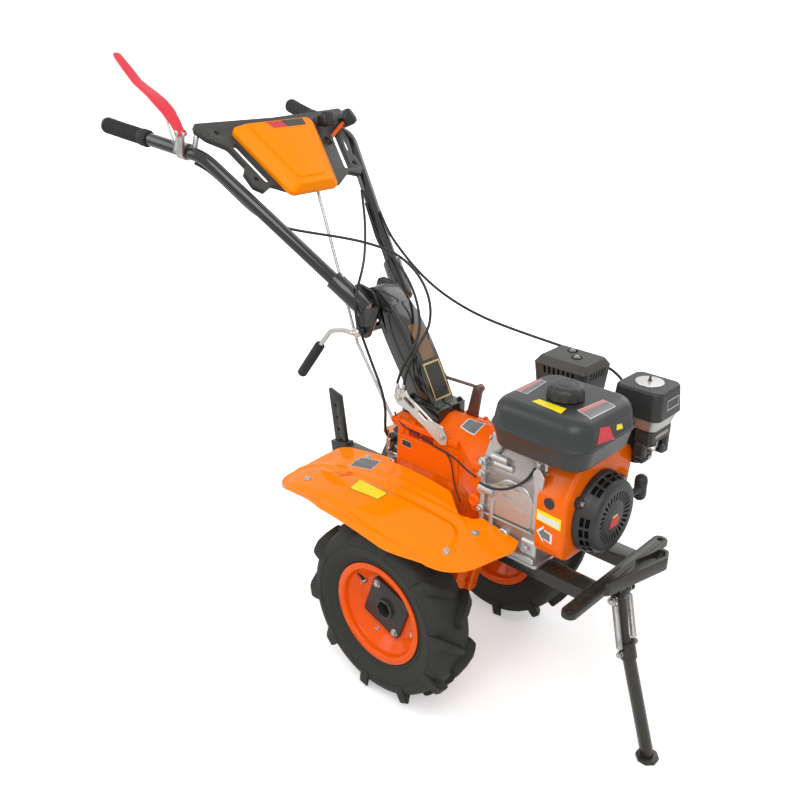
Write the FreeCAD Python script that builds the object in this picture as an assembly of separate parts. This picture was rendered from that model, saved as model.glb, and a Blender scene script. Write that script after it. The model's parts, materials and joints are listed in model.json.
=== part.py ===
"""Two-wheeled power weeder: petrol engine, gear case, pneumatic wheels, front stand and handlebars.

Millimetres.  +X is the way the machine drives, +Y its left side, +Z up.  All places are
first written from the point on the floor under the wheel axle, and put() then moves the
piece so that the origin is the middle of the machine's footprint box, on the floor.
"""
import FreeCAD
import Part
import math
import os

V = FreeCAD.Vector

# ---------------------------------------------------------------- driving dimensions
REAR_REACH = 806.0          # wheel axle to the ends of the grips
FRONT_REACH = 543.2         # wheel axle to the front of the stand's foot
AXLE_X = (REAR_REACH - FRONT_REACH) / 2.0

TYRE_R = 205.0              # 4.00-8 farm tyre over its lugs
TYRE_W = 106.0
TRACK = 394.0               # between the tyres' middle planes
AXLE_Z = TYRE_R
BEAD_R = 101.5              # 8 inch bead seat
RIM_R = 115.0               # over the rim flange
RIM_W = 78.0
RIM_T = 3.0
WEB_T = 5.0                 # the two pressed discs bolted together
TYRE_WALL = 11.0

HEX_AF = 32.0               # output shaft, across flats
HUB_TUBE_R = 23.0
HUB_FIT = 0.2               # gap on each flat between shaft and hub tube
HUB_PLATE = 104.0            # side of the square hub plate
WHEEL_TURN = 26.0           # degrees, how far round the wheels stand
HUB_PLATE_T = 8.0
HUB_IN = 78.0               # inner end of the hub tube, from the middle
HUB_PROUD = 8.0             # hub tube beyond its plate
SHAFT_END = 168.0
PIN_Y = 123.0               # cross pin through hub and shaft
PIN_R = 4.0
JOURNAL_R = 21.0
JOURNAL_END = 64.0
RUN_FIT = 0.05              # running clearance on a radius

CASE_HW = 45.0              # half width of the drive case
CAP_R = 46.0                # bearing caps on its sides
CAP_T = 14.0
SEAM_BAND = 14.0            # raised band where the case's halves meet
BOX_HW = 58.0               # half width of the gearbox
BOX_Z0 = 396.0
BOX_Z1 = 556.0
BOX_X0 = -118.0             # rear of the gearbox
COVER_EDGE_Z = 564.0        # top of the cover's lip
COVER_Z = 589.0
FOOT_Z = 603.0              # top of the column's foot on the cover

RAIL_TOP = 387.0
RAIL_H = 26.0
RAIL_IN = 50.0              # inner face of a rail from the middle
RAIL_OUT = 94.0
RAIL_T = 4.0
RAIL_X0 = 70.0
ENGINE_PLATE = 7.0          # plate between rails and engine
CRANK_Z = RAIL_TOP + ENGINE_PLATE + 106.0
BELL_X0 = 62.0
BELL_X1 = 150.0
BELL_HW = 97.0              # half width of its flange
BELL_TOP = 607.0
BELL_LIP = 12.0
BELL_FOOT = 12.0
BOSS_R = 14.0

ENGINE_X1 = 288.0
SHROUD_X1 = 350.0
SHROUD_R = 108.0
RECOIL_X1 = 392.0
RECOIL_R = 82.0
RECOIL_NOSE_R = 71.0

TANK_X0, TANK_X1 = 186.0, 398.0
TANK_Y0, TANK_Y1 = -150.0, 58.0
TANK_Z0, TANK_SEAM, TANK_Z1 = 634.0, 679.0, 730.0
CAP_X, CAP_Y = 296.0, -52.0
FUEL_CAP_R = 35.0
FUEL_CAP_H = 28.0

MUF_X0, MUF_X1 = 131.0, 252.0
MUF_Y0, MUF_Y1 = 80.0, 178.0
MUF_Z0, MUF_SHOULDER, MUF_Z1 = 650.0, 719.0, 733.0
AIR_X0, AIR_X1 = 302.0, 408.0
AIR_Y0, AIR_Y1 = 90.0, 192.0
AIR_Z0, AIR_SEAM, AIR_Z1 = 638.0, 664.0, 719.0

BAR_X = 411.0               # cross bar in front of the rails
BAR_W = 30.0
BAR_H = 12.0
BAR_LEN = 352.0
BAR_HOLE_R = 5.5
BAR_HOLE_IN = 15.0          # hole centre from the bar's end
STRIP_X = 467.0             # front of the guard strip
STRIP_T = 7.0
STRIP_H = 28.0

STAND_X, STAND_Z = 424.0, 346.0
STAND_BOLT_R = 5.0
LUG_T = 5.0
LUG_Y = 12.0                # inner face of a lug
LEG_R = 9.5
LEG_LOW_R = 13.0
FOOT_R = 23.0               # to a corner of the eight-sided foot
FOOT_X = FRONT_REACH - FOOT_R * math.cos(math.radians(22.5))
FOOT_T = 8.0
SPRING_Y = 26.0
SPRING_R = 6.5

STAKE_X = -343.0            # middle of the stake at the socket
STAKE_Z = 376.0
STAKE_LEAN = 9.0            # degrees, its top to the rear
STAKE_W = 36.0
STAKE_T = 10.0
STAKE_UP = 160.0            # above and below the socket's middle
STAKE_DOWN = 236.0
STAKE_HOLE_R = 4.5
STAKE_PITCH = 30.0
SOCKET_WALL = 8.0
SOCKET_H = 60.0
SLIDE_FIT = 0.4

PIVOT_X, PIVOT_Z = -208.0, 790.0
PIVOT_R = 10.0
COLUMN_HW = 30.0
COLUMN_NOSE = 32.0
CHEEK_T = 9.0
CHEEK_GAP = 1.0
BARREL_R = 20.5             # sockets for the handlebar tubes
TUBE_R = 14.0
TUBE_FIT = 0.2
BAR_P0 = V(-268, 89, 841)   # left tube where it leaves its socket
BAR_P1 = V(-525, 210, 1075)
BAR_P2 = V(-REAR_REACH + 6.0, 267, 1120)
BAR_BEND = 95.0
LEVER_X, LEVER_Y, LEVER_Z = -562.0, -236.0, 1122.0
GRIP_R = 18.0
GRIP_LEN = 128.0

PANEL_N0 = TUBE_R + 0.3     # panel's back above the plane of the tubes
PANEL_T = 12.0
HOOD_H = 26.0
HOOD_STEP = 10.0
HOOD_WALL = 4.0
HOOD_Y = -20.0              # the hood stands a little to the right

FENDER_T = 2.0
CABLE_D = 6.0
ROD_R = 3.0
ROD_LUG = V(-175, 10, 490)   # lower end of the gear rod


# ---------------------------------------------------------------- helpers
def rounded(points, close=True):
    """Wire through 3-D points; each is (vector, corner radius)."""
    count = len(points)
    ends = []
    arcs = []
    for i, (p, r) in enumerate(points):
        if r <= 0 or (not close and i in (0, count - 1)):
            ends.append((p, p))
            arcs.append(None)
            continue
        a = points[i - 1][0].sub(p).normalize()
        b = points[(i + 1) % count][0].sub(p).normalize()
        half = a.getAngle(b) / 2.0
        cut = r / math.tan(half)
        mid = a.add(b).normalize().multiply(r / math.sin(half) - r)
        ends.append((p + a * cut, p + b * cut))
        arcs.append(p + mid)
    edges = []
    for i in range(count):
        if arcs[i] is not None:
            edges.append(Part.Arc(ends[i][0], arcs[i], ends[i][1]).toShape())
        if i < count - 1 or close:
            a = ends[i][1]
            b = ends[(i + 1) % count][0]
            if a.distanceToPoint(b) > 1e-6:
                edges.append(Part.makeLine(a, b))
    return Part.Wire(edges)


def prism(points, to_3d, push):
    """Solid of a rounded outline; points are (u, v) or (u, v, radius)."""
    wire = rounded([(to_3d(p[0], p[1]), p[2] if len(p) > 2 else 0.0) for p in points])
    return Part.Face(wire).extrude(push)


def prism_xz(points, y0, y1):
    return prism(points, lambda x, z: V(x, y0, z), V(0, y1 - y0, 0))


def prism_xy(points, z0, z1):
    return prism(points, lambda x, y: V(x, y, z0), V(0, 0, z1 - z0))


def prism_yz(points, x0, x1):
    return prism(points, lambda y, z: V(x0, y, z), V(x1 - x0, 0, 0))


def box(x0, x1, y0, y1, z0, z1):
    return Part.makeBox(x1 - x0, y1 - y0, z1 - z0, V(x0, y0, z0))


def rod(a, b, r):
    return Part.makeCylinder(r, a.distanceToPoint(b), a, b.sub(a))


def rod_y(x, z, r, y0, y1):
    return Part.makeCylinder(r, y1 - y0, V(x, y0, z), V(0, 1, 0))


def rod_x(y, z, r, x0, x1):
    return Part.makeCylinder(r, x1 - x0, V(x0, y, z), V(1, 0, 0))


def rod_z(x, y, r, z0, z1):
    return Part.makeCylinder(r, z1 - z0, V(x, y, z0), V(0, 0, 1))


def turned(points, centre, axis):
    """Ring or disc turned about axis through centre; points are (radius, along[, corner])."""
    side = V(1, 0, 0) if abs(axis.x) < 0.5 else V(0, 0, 1)
    corners = [(centre + side * p[0] + axis * p[1], p[2] if len(p) > 2 else 0.0) for p in points]
    return Part.Face(rounded(corners)).revolve(centre, axis, 360)


def pipe(points, radius, bend):
    """Round bar or tube outside along a path of points with one bend radius."""
    wire = rounded([(p, bend) for p in points], close=False)
    start = points[1].sub(points[0]).normalize()
    ring = Part.Wire(Part.makeCircle(radius, points[0], start))
    return wire.makePipeShell([ring], True, False)


def cord(points, diameter):
    """Control cable held at both ends: runs joined by arcs as large as the runs allow."""
    bends = [(points[0], 0.0)]
    for a, p, b in zip(points, points[1:], points[2:]):
        turn = p.sub(a).getAngle(b.sub(p))
        run = min(a.distanceToPoint(p), p.distanceToPoint(b))
        bends.append((p, 0.45 * run / math.tan(turn / 2.0)))
    bends.append((points[-1], 0.0))
    path = rounded(bends, close=False)
    start = points[1].sub(points[0]).normalize()
    ring = Part.Wire(Part.makeCircle(diameter / 2.0, points[0], start))
    tightest = min(r for p, r in bends[1:-1])
    print("cable of %.0f mm, tightest bend %.0f mm" % (path.Length, tightest))
    return path.makePipeShell([ring], True, False)


def mirrored(shape):
    return shape.mirror(V(0, 0, 0), V(0, 1, 0))


def left_point(p):
    return V(p.x, -p.y, p.z)


def joined(shapes):
    whole = shapes[0].fuse(shapes[1:]) if len(shapes) > 1 else shapes[0]
    return whole.removeSplitter()


def softened(shape, radius, pick):
    """Fillet the edges that pick(edge) chooses."""
    edges = [e for e in shape.Edges if pick(e)]
    return shape.makeFillet(radius, edges)


def put(name, shape):
    shape = shape.copy()
    shape.translate(V(AXLE_X, 0, 0))
    shape.exportStep("parts/%s.step" % name)


def both_sides(name, right):
    put(name + "_right", right)
    put(name + "_left", mirrored(right))


# ---------------------------------------------------------------- wheels and axle
def hex_bar(af, y0, y1, x=0.0, z=AXLE_Z):
    corner = af / math.sqrt(3.0)
    turns = [math.radians(60 * k) for k in range(6)]
    pts = [V(x + corner * math.cos(a), y0, z + corner * math.sin(a)) for a in turns]
    return Part.Face(Part.makePolygon(pts + [pts[0]])).extrude(V(0, y1 - y0, 0))


def axle_shaft():
    bar = hex_bar(HEX_AF, -SHAFT_END, SHAFT_END)
    journal = rod_y(0, AXLE_Z, JOURNAL_R, -JOURNAL_END, JOURNAL_END)
    bar = joined([bar, journal])
    for s in (-1, 1):
        bar = bar.cut(rod_z(0, s * PIN_Y, PIN_R + RUN_FIT, AXLE_Z - 30, AXLE_Z + 30))
    return bar


def wheel_plane():
    return -TRACK / 2.0


def hub():
    """Right hub: tube over the hex shaft with a square plate outside the rim's disc."""
    web = wheel_plane() - WEB_T / 2.0
    plate_out = web - HUB_PLATE_T
    half = HUB_PLATE / 2.0 * math.sqrt(2.0)
    corner = 9.0
    plate = prism_xz([(half, AXLE_Z, corner), (0, AXLE_Z + half, corner), (-half, AXLE_Z, corner),
                      (0, AXLE_Z - half, corner)], plate_out, web)
    tube = rod_y(0, AXLE_Z, HUB_TUBE_R, plate_out - HUB_PROUD, -HUB_IN)
    plate.rotate(V(0, 0, AXLE_Z), V(0, 1, 0), -WHEEL_TURN)
    body = joined([plate, tube])
    bore = hex_bar(HEX_AF + 2 * HUB_FIT, plate_out - HUB_PROUD - 1, -HUB_IN + 1)
    pin = rod_z(0, -PIN_Y, PIN_R, AXLE_Z - HUB_TUBE_R - 7, AXLE_Z + HUB_TUBE_R + 7)
    return joined([body.cut(bore), pin])


def rim():
    """Right rim: two pressings back to back, with a lip at each edge."""
    half = RIM_W / 2.0
    seat = BEAD_R
    profile = [(RIM_R, half), (RIM_R, half - RIM_T), (seat + 4, half - RIM_T - 1, 3), (seat, half - 12, 4),
               (seat, -half + 12, 4), (seat + 4, -half + RIM_T + 1, 3), (RIM_R, -half + RIM_T),
               (RIM_R, -half),
               (seat - 1, -half, 6), (seat - 4, -half + 14, 8), (seat - 16, -14, 10), (74, -WEB_T / 2.0, 8),
               (HUB_TUBE_R + 0.3, -WEB_T / 2.0), (HUB_TUBE_R + 0.3, WEB_T / 2.0), (74, WEB_T / 2.0, 8),
               (seat - 16, 14, 10), (seat - 4, half - 14, 8), (seat - 1, half, 6)]
    return turned(profile, V(0, wheel_plane(), AXLE_Z), V(0, 1, 0))


def tyre():
    half = TYRE_W / 2.0
    rim_half = RIM_W / 2.0 - RIM_T - 1.6
    crown = 30.0
    shoulder = TYRE_R - 11.0
    inner = TYRE_R - TYRE_WALL - 16.0
    seat = BEAD_R + 0.3
    out = [(seat, rim_half - 9), (seat + 5, rim_half), (seat + 18, rim_half, 4), (seat + 34, half - 2, 18),
           (shoulder - 26, half, 14), (shoulder, half - 5, 10), (TYRE_R, crown, 8)]
    hollow = [(inner, crown - 6, 14), (inner - 22, half - TYRE_WALL, 14),
              (seat + 26, rim_half - TYRE_WALL + 2, 10), (seat, rim_half - TYRE_WALL)]
    other_out = [(p[0], -p[1]) + tuple(p[2:]) for p in reversed(out)]
    other_hollow = [(p[0], -p[1]) + tuple(p[2:]) for p in reversed(hollow)]
    return turned(out + other_out + other_hollow + hollow, V(0, wheel_plane(), AXLE_Z), V(0, 1, 0))


# ---------------------------------------------------------------- gear case
def drive_case():
    side = [(-66, BOX_Z0), (-60, 330, 40), (-82, 262, 30), (-84, 180, 40), (-46, 124, 30), (20, 126, 20),
            (42, 150, 14), (60, 236, 40), (60, BOX_Z0)]
    body = prism_xz(side, -CASE_HW, CASE_HW)
    rim_band = prism_xz([(-74, BOX_Z0), (-68, 330, 44), (-90, 262, 34), (-92, 178, 44), (-50, 116, 34),
                         (24, 118, 24), (50, 144, 18), (72, 234, 44), (72, RAIL_TOP - 1), (60, BOX_Z0)],
                        -SEAM_BAND / 2.0, SEAM_BAND / 2.0)
    caps = rod_y(0, AXLE_Z, CAP_R, -CASE_HW - CAP_T, CASE_HW + CAP_T)
    body = joined([body, rim_band, caps])
    return body.cut(rod_y(0, AXLE_Z, JOURNAL_R + RUN_FIT, -200, 200))


def gearbox_housing():
    body = prism_xz([(BOX_X0 + 6, BOX_Z0), (BOX_X0, 470), (BOX_X0 + 6, BOX_Z1), (BELL_X0, BOX_Z1),
                     (BELL_X0, BOX_Z0)], -BOX_HW, BOX_HW)
    body = softened(body, 10.0, lambda e: e.BoundBox.YLength < 1 and e.BoundBox.ZLength > 60
                    and e.CenterOfMass.x < 0)
    lip = box(BOX_X0 - 4, BELL_X0, -BOX_HW - 8, BOX_HW + 8, BOX_Z1 - 12, BOX_Z1)
    ribs = []
    for x in (-70.0, -10.0, 40.0):
        ribs.append(box(x - 3, x + 3, -BOX_HW - 6, BOX_HW + 6, BOX_Z0 + 20, BOX_Z1 - 12))
    return joined([body, lip] + ribs)


def cover_section(x):
    """Outline of the gearbox cover and the housing under it, right half, top last."""
    return [V(x, -BOX_HW, BOX_Z0), V(x, -BOX_HW, 440), V(x, -BOX_HW, 468), V(x, -BOX_HW, 500),
            V(x, -BOX_HW, COVER_EDGE_Z), V(x, -34, 576), V(x, -10, COVER_Z)]


def bell_section(x):
    """Outline of the bell's mouth, right half, top last."""
    low = BOX_Z0
    return [V(x, -52, low), V(x, -52, 440), V(x, -88, 464), V(x, -BELL_HW, 500), V(x, -BELL_HW + 2, 530),
            V(x, -52, 582), V(x, -22, BELL_TOP)]


def closed_section(half):
    """Wire through the right half's points and their mirror images."""
    ring = half + [left_point(p) for p in reversed(half)]
    return Part.makePolygon(ring + [ring[0]])


def gearbox_cover():
    top = cover_section(BOX_X0)[4:]
    roof = [top[0] - V(0, 0, COVER_EDGE_Z - BOX_Z1)] + top
    body = Part.Face(closed_section(roof)).extrude(V(BELL_X0 - BOX_X0, 0, 0))
    nose = prism_xz([(BOX_X0 - 1, 566), (BOX_X0 + 20, COVER_Z + 1), (BOX_X0 - 1, COVER_Z + 1)], -100, 100)
    lip = box(BOX_X0 - 4, BELL_X0, -BOX_HW - 8, BOX_HW + 8, BOX_Z1, COVER_EDGE_Z)
    return joined([body.cut(nose), lip])


def bell_housing():
    """Widens from the gearbox's section to the flange on the engine, on a foot across both rails."""
    back = closed_section(cover_section(BELL_X0))
    front = closed_section(bell_section(BELL_X1 - BELL_LIP))
    cone = Part.makeLoft([back, front], True, True)
    lip = Part.Face(front).extrude(V(BELL_LIP, 0, 0))
    bosses = []
    for y, z in ((-74.0, 458.0), (-84.0, 548.0), (-30.0, 602.0)):
        for side in (-1, 1):
            bosses.append(rod_x(side * y, z, BOSS_R, BELL_X1 - 24, BELL_X1))
    foot = box(RAIL_X0, BELL_X1, -RAIL_OUT, RAIL_OUT, RAIL_TOP, RAIL_TOP + BELL_FOOT)
    return joined([cone, lip, foot] + bosses).cut(drive_case())


# ---------------------------------------------------------------- engine
def crankcase():
    z0 = RAIL_TOP + ENGINE_PLATE
    body = prism_yz([(-96, z0, 4), (-98, 560, 16), (-62, 620, 12), (40, 620, 10), (66, 590, 10), (66, z0, 4)],
                    BELL_X1, ENGINE_X1)
    pads = [box(x, x + 34, y, y + 26, 612, TANK_Z0) for x in (200.0, 246.0) for y in (-58.0, 8.0)]
    return joined([body] + pads)


def engine_plate():
    """Base plate, wider than the crankcase, bolted down on both rails."""
    z0, z1 = RAIL_TOP, RAIL_TOP + ENGINE_PLATE
    plate = prism_xy([(BELL_X1 + 6, -104, 8), (ENGINE_X1 + 6, -104, 8), (ENGINE_X1 + 6, 104, 8),
                      (BELL_X1 + 6, 104, 8)], z0, z1)
    return plate


def cylinder_block():
    """Cylinder and head as one finned block, leaning 25 degrees above level to the left."""
    x0, x1 = 178.0, 286.0
    core = box(x0 + 8, x1 - 8, 60, 178, 500, 596)
    fins = [box(x0, x1, 76 + 11 * k, 80 + 11 * k, 490, 606) for k in range(8)]
    cover = box(x0 + 14, x1 - 14, 170, 200, 508, 590)
    body = joined([core] + fins + [cover])
    body.rotate(V(0, 66, 500), V(1, 0, 0), 16)
    return body.cut(box(100, 400, -200, 66.3, 300, 700))


def fan_shroud():
    ring = rod_x(0, CRANK_Z, SHROUD_R - 22, ENGINE_X1, SHROUD_X1)
    low = RAIL_TOP + ENGINE_PLATE + 28
    side = [(-SHROUD_R, low, 34), (-SHROUD_R, CRANK_Z + 52, 26), (-62, CRANK_Z + 118, 22),
            (84, CRANK_Z + 118, 30), (128, CRANK_Z + 84, 30), (118, CRANK_Z + 20, 24), (92, low + 26, 50),
            (20, low, 50)]
    web = prism_yz(side, ENGINE_X1, SHROUD_X1)
    body = joined([ring, web])
    return softened(body, 9.0, lambda e: e.BoundBox.XMin > SHROUD_X1 - 0.01)


def recoil_cover():
    profile = [(0, 0), (RECOIL_R, 0), (RECOIL_R, 16, 4), (RECOIL_NOSE_R + 3, 22, 4),
               (RECOIL_NOSE_R, RECOIL_X1 - SHROUD_X1, 7), (0, RECOIL_X1 - SHROUD_X1)]
    return turned(profile, V(SHROUD_X1, 0, CRANK_Z), V(1, 0, 0))


def starter_grip():
    """T handle of the pull cord, in its socket on the recoil cover's left."""
    y, z = 126.0, CRANK_Z + 6.0
    knob = rod(V(372, y, z - 25), V(372, y, z + 25), 9.5)
    knob = softened(knob, 6.0, lambda e: True)
    stem = rod(V(372, RECOIL_NOSE_R - 2, z - 2), V(372, y, z), 6.5)
    return joined([knob, stem.cut(recoil_cover())])


def level_ring(x0, x1, y0, y1, z, radius):
    corners = ((x0, y0), (x1, y0), (x1, y1), (x0, y1))
    return rounded([(V(x, y, z), radius) for x, y in corners])


def fuel_tank():
    def ring(inset, z, r):
        return level_ring(TANK_X0 + inset, TANK_X1 - inset, TANK_Y0 + inset, TANK_Y1 - inset, z, r)
    lower = Part.makeLoft([ring(12, TANK_Z0, 36), ring(2, TANK_SEAM, 44)], True, True)
    upper = Part.makeLoft([ring(2, TANK_SEAM, 44), ring(9, TANK_Z1, 42)], True, True)
    seam = Part.Face(ring(0, TANK_SEAM - 2.5, 45)).extrude(V(0, 0, 5))
    body = joined([lower, upper, seam])
    top = lambda e: abs(e.CenterOfMass.z - TANK_Z1) < 0.01
    bottom = lambda e: abs(e.CenterOfMass.z - TANK_Z0) < 0.01
    return softened(softened(body, 26.0, top), 12.0, bottom)


def fuel_cap():
    neck = rod_z(CAP_X, CAP_Y, FUEL_CAP_R - 6, TANK_Z1, TANK_Z1 + 4)
    cap = rod_z(CAP_X, CAP_Y, FUEL_CAP_R, TANK_Z1 + 4, TANK_Z1 + FUEL_CAP_H)
    cap = softened(cap, 6.0, lambda e: e.CenterOfMass.z > TANK_Z1 + 20)
    return joined([neck, cap])


def muffler_cover():
    def ring(inset, z):
        return level_ring(MUF_X0 + inset, MUF_X1 - inset, MUF_Y0 + inset, MUF_Y1 - inset, z, 8)
    body = Part.makeLoft([ring(7, MUF_Z0), ring(0, MUF_SHOULDER)], True, True)
    crown = Part.makeLoft([ring(0, MUF_SHOULDER), ring(10, MUF_Z1)], True, True)
    return joined([body, crown])


def muffler_pipe():
    """Exhaust stub and the bracket that carries the muffler on the cylinder head."""
    stub = rod_z(206, 128, 16, 560, MUF_Z0)
    plate = box(176, 240, 98, 158, MUF_Z0 - 8, MUF_Z0)
    return joined([stub, plate]).cut(cylinder_block())


def air_cleaner():
    def ring(inset, z, r):
        return level_ring(AIR_X0 + inset, AIR_X1 - inset, AIR_Y0 + inset, AIR_Y1 - inset, z, r)
    cover = Part.makeLoft([ring(1, AIR_SEAM, 16), ring(5, AIR_Z1, 18)], True, True)
    cover = softened(cover, 6.0, lambda e: abs(e.CenterOfMass.z - AIR_Z1) < 0.01)
    base = Part.makeLoft([ring(12, AIR_Z0, 14), ring(4, AIR_SEAM, 16)], True, True)
    return cover, base


def carburettor():
    bowl = rod_z(348, 140, 22, 556, 590)
    body = box(300, 372, 118, 162, 588, 628)
    neck = box(322, 382, 112, 172, 626, AIR_Z0)
    flange = box(280, 302, 112, 168, 572, 620)
    return joined([bowl, body, neck, flange]).cut(cylinder_block()).cut(fan_shroud())


# ---------------------------------------------------------------- front frame and stand
def frame_rail():
    """Right rail: an upside-down channel under the engine's feet."""
    x1 = BAR_X - BAR_W / 2.0
    body = box(RAIL_X0, x1, -RAIL_OUT, -RAIL_IN, RAIL_TOP - RAIL_H, RAIL_TOP)
    hollow = box(RAIL_X0 - 1, x1 + 1, -RAIL_OUT + RAIL_T, -RAIL_IN - RAIL_T, RAIL_TOP - RAIL_H - 1,
                 RAIL_TOP - RAIL_T)
    return body.cut(hollow)


def cross_bar():
    half = BAR_LEN / 2.0
    x0, x1 = BAR_X - BAR_W / 2.0, BAR_X + BAR_W / 2.0
    r = BAR_W / 2.0 - 0.5
    z1 = RAIL_TOP
    bar = prism_xy([(x0, -half, r), (x1, -half, r), (x1, half, r), (x0, half, r)], z1 - BAR_H, z1)
    for s in (-1, 1):
        bar = bar.cut(rod_z(BAR_X, s * (half - BAR_HOLE_IN), BAR_HOLE_R, z1 - BAR_H - 1, z1 + 1))
    return bar


def guard_strip():
    """Flat strip on edge: slants across the front, turns round and comes back in an S."""
    front = STRIP_X - STRIP_T / 2.0
    x0 = BAR_X + BAR_W / 2.0
    z0 = RAIL_TOP - 10
    line = [(V(x0 - 8, -71, z0), 0), (V(x0 + 2.5, -65, z0), 10), (V(front, 87, z0), 10),
            (V(front - 9, 107, z0), 8), (V(front - 26, 103, z0), 8), (V(x0 + 8, 79, z0), 10),
            (V(x0 + 2.5, 59, z0), 8), (V(x0 - 4, 35, z0), 0)]
    path = rounded(line, close=False)
    strip = path.makeOffset2D(STRIP_T / 2.0, 0, False, False, False)
    face = Part.Face(Part.Wire(strip.Edges))
    solid = face.extrude(V(0, 0, STRIP_H))
    return solid.cut(box(0, x0, -200, 200, 300, 500)).cut(stand_lugs())


def stand_lugs():
    z1 = RAIL_TOP - BAR_H
    lug = prism_xz([(STAND_X - 22, z1), (STAND_X - 12, STAND_Z - 11, 10), (STAND_X + 12, STAND_Z - 11, 10),
                    (BAR_X + BAR_W / 2.0, z1)], LUG_Y, LUG_Y + LUG_T)
    bolt = rod_y(STAND_X, STAND_Z, STAND_BOLT_R, -SPRING_Y - 7, SPRING_Y + 7)
    head = [rod_y(STAND_X, STAND_Z, 8.0, s * (SPRING_Y + 7) - 2.5, s * (SPRING_Y + 7) + 2.5) for s in (-1, 1)]
    return joined([lug, mirrored(lug), bolt] + head)


def leg_line():
    top = V(STAND_X, 0, STAND_Z)
    bend = V(440, 0, 262)
    foot = V(FOOT_X, 0, FOOT_T)
    return top, bend, foot


def stand_leg():
    top, bend, foot = leg_line()
    down = foot.sub(bend).normalize()
    knee = bend + down * 30
    upper = pipe([top, bend, knee], LEG_R, 60.0)
    eye = rod_y(STAND_X, STAND_Z, 11.5, -LUG_Y + 0.5, LUG_Y - 0.5)
    lower = rod(knee - down * 8, foot, LEG_LOW_R)
    collar = rod(knee - down * 12, knee + down * 22, LEG_LOW_R + 3.5)
    pin_at = knee + down * 2
    pins = rod_y(pin_at.x, pin_at.z, 4.0, -SPRING_Y - 5, SPRING_Y + 5)
    body = joined([upper, eye, lower, collar, pins])
    body = body.cut(rod_y(STAND_X, STAND_Z, STAND_BOLT_R + RUN_FIT, -50, 50))
    return body.cut(box(300, 700, -100, 100, -50, FOOT_T))


def stand_foot():
    """Eight-sided foot plate, flat on the floor."""
    turns = [math.radians(45 * k + 22.5) for k in range(8)]
    pts = [(FOOT_X + FOOT_R * math.cos(a), FOOT_R * math.sin(a)) for a in turns]
    return prism_xy(pts, 0, FOOT_T)


def stand_spring():
    """Right spring: coil body, with an eye over the pivot bolt and one over the leg's pin."""
    top, bend, foot = leg_line()
    down = foot.sub(bend).normalize()
    pin = bend + down * 32
    a = V(STAND_X, -SPRING_Y, STAND_Z)
    b = V(pin.x, -SPRING_Y, pin.z)
    along = b.sub(a).normalize()
    coil = rod(a + along * 12, b - along * 10, SPRING_R)
    eye_a = rod_y(a.x, a.z, 8.0, -SPRING_Y - 1.5, -SPRING_Y + 1.5).cut(
        rod_y(a.x, a.z, STAND_BOLT_R + 0.4, -60, 60))
    eye_b = rod_y(b.x, b.z, 7.0, -SPRING_Y - 1.5, -SPRING_Y + 1.5).cut(rod_y(b.x, b.z, 4.3, -60, 60))
    link_a = rod(a + along * 7, a + along * 14, 1.5)
    link_b = rod(b - along * 13, b - along * 6, 1.5)
    spring = joined([coil, eye_a, eye_b, link_a, link_b])
    return spring.cut(stand_leg())


# ---------------------------------------------------------------- rear hitch and depth stake
def stake_frame(shape):
    shape = shape.copy()
    shape.rotate(V(STAKE_X, 0, STAKE_Z), V(0, 1, 0), -STAKE_LEAN)
    return shape


def depth_stake():
    x0, x1 = STAKE_X - STAKE_W / 2.0, STAKE_X + STAKE_W / 2.0
    top, low = STAKE_Z + STAKE_UP, STAKE_Z - STAKE_DOWN
    bar = prism_xz([(x0, low + 24), (x0, top), (x1, top - 16), (x1, low), (x1 - 8, low)],
                   -STAKE_T / 2.0, STAKE_T / 2.0)
    for k in range(-6, 5):
        if k != 0:
            bar = bar.cut(rod_y(STAKE_X, STAKE_Z + k * STAKE_PITCH, STAKE_HOLE_R, -20, 20))
    bar = bar.cut(rod_y(STAKE_X, STAKE_Z, STAKE_HOLE_R, -20, 20))
    return stake_frame(bar)


def stake_socket():
    wx = STAKE_W / 2.0 + SLIDE_FIT + SOCKET_WALL
    wy = STAKE_T / 2.0 + SLIDE_FIT + SOCKET_WALL
    z0, z1 = STAKE_Z - SOCKET_H / 2.0, STAKE_Z + SOCKET_H / 2.0
    body = box(STAKE_X - wx, STAKE_X + wx, -wy, wy, z0, z1)
    slot = box(STAKE_X - STAKE_W / 2.0 - SLIDE_FIT, STAKE_X + STAKE_W / 2.0 + SLIDE_FIT,
               -STAKE_T / 2.0 - SLIDE_FIT, STAKE_T / 2.0 + SLIDE_FIT, z0 - 1, z1 + 1)
    return stake_frame(body.cut(slot))


def hitch_frame():
    """Black drawbar from the back of the gearbox to the stake's socket."""
    bar = box(-330, -150, -16, 16, 378, 404)
    cheek = prism_xz([(-196, 376), (-118, 376), (-118, 500, 4), (-160, 500, 8), (-196, 420, 12)], 22, 28)
    clevis_pin = rod_y(-148, 488, 5, -48, -28)
    back = box(-128, -118, -40, 40, 400, 500)
    cross = rod_y(-178, 391, 9, -40, 40)
    lug = prism_xz([(-128, 474), (-128, 500), (-172, 500), (-184, 488), (-172, 476)], 4, ROD_LUG.y - ROD_R)
    body = joined([bar, cheek, mirrored(cheek), back, cross, clevis_pin, lug])
    socket_face = STAKE_X + STAKE_W / 2.0 + SLIDE_FIT + SOCKET_WALL
    room = stake_frame(box(STAKE_X - 200, socket_face, -60, 60, 200, 600))
    housing_room = box(-118, 0, -100, 100, 300, 600)
    return body.cut(room).cut(housing_room)


# ---------------------------------------------------------------- fenders
FENDER_GRID = [  # height above the floor; rows from the back (x), columns outwards (y)
    (-292.0, (432.0, 424.0, 407.0)),
    (-160.0, (456.0, 443.0, 430.0)),
    (-20.0, (468.0, 448.0, 423.0)),
    (110.0, (462.0, 438.0, 404.0)),
    (270.0, (436.0, 416.0, 388.0)),
]
FENDER_YS = (-40.0, -160.0, -285.0)


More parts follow.
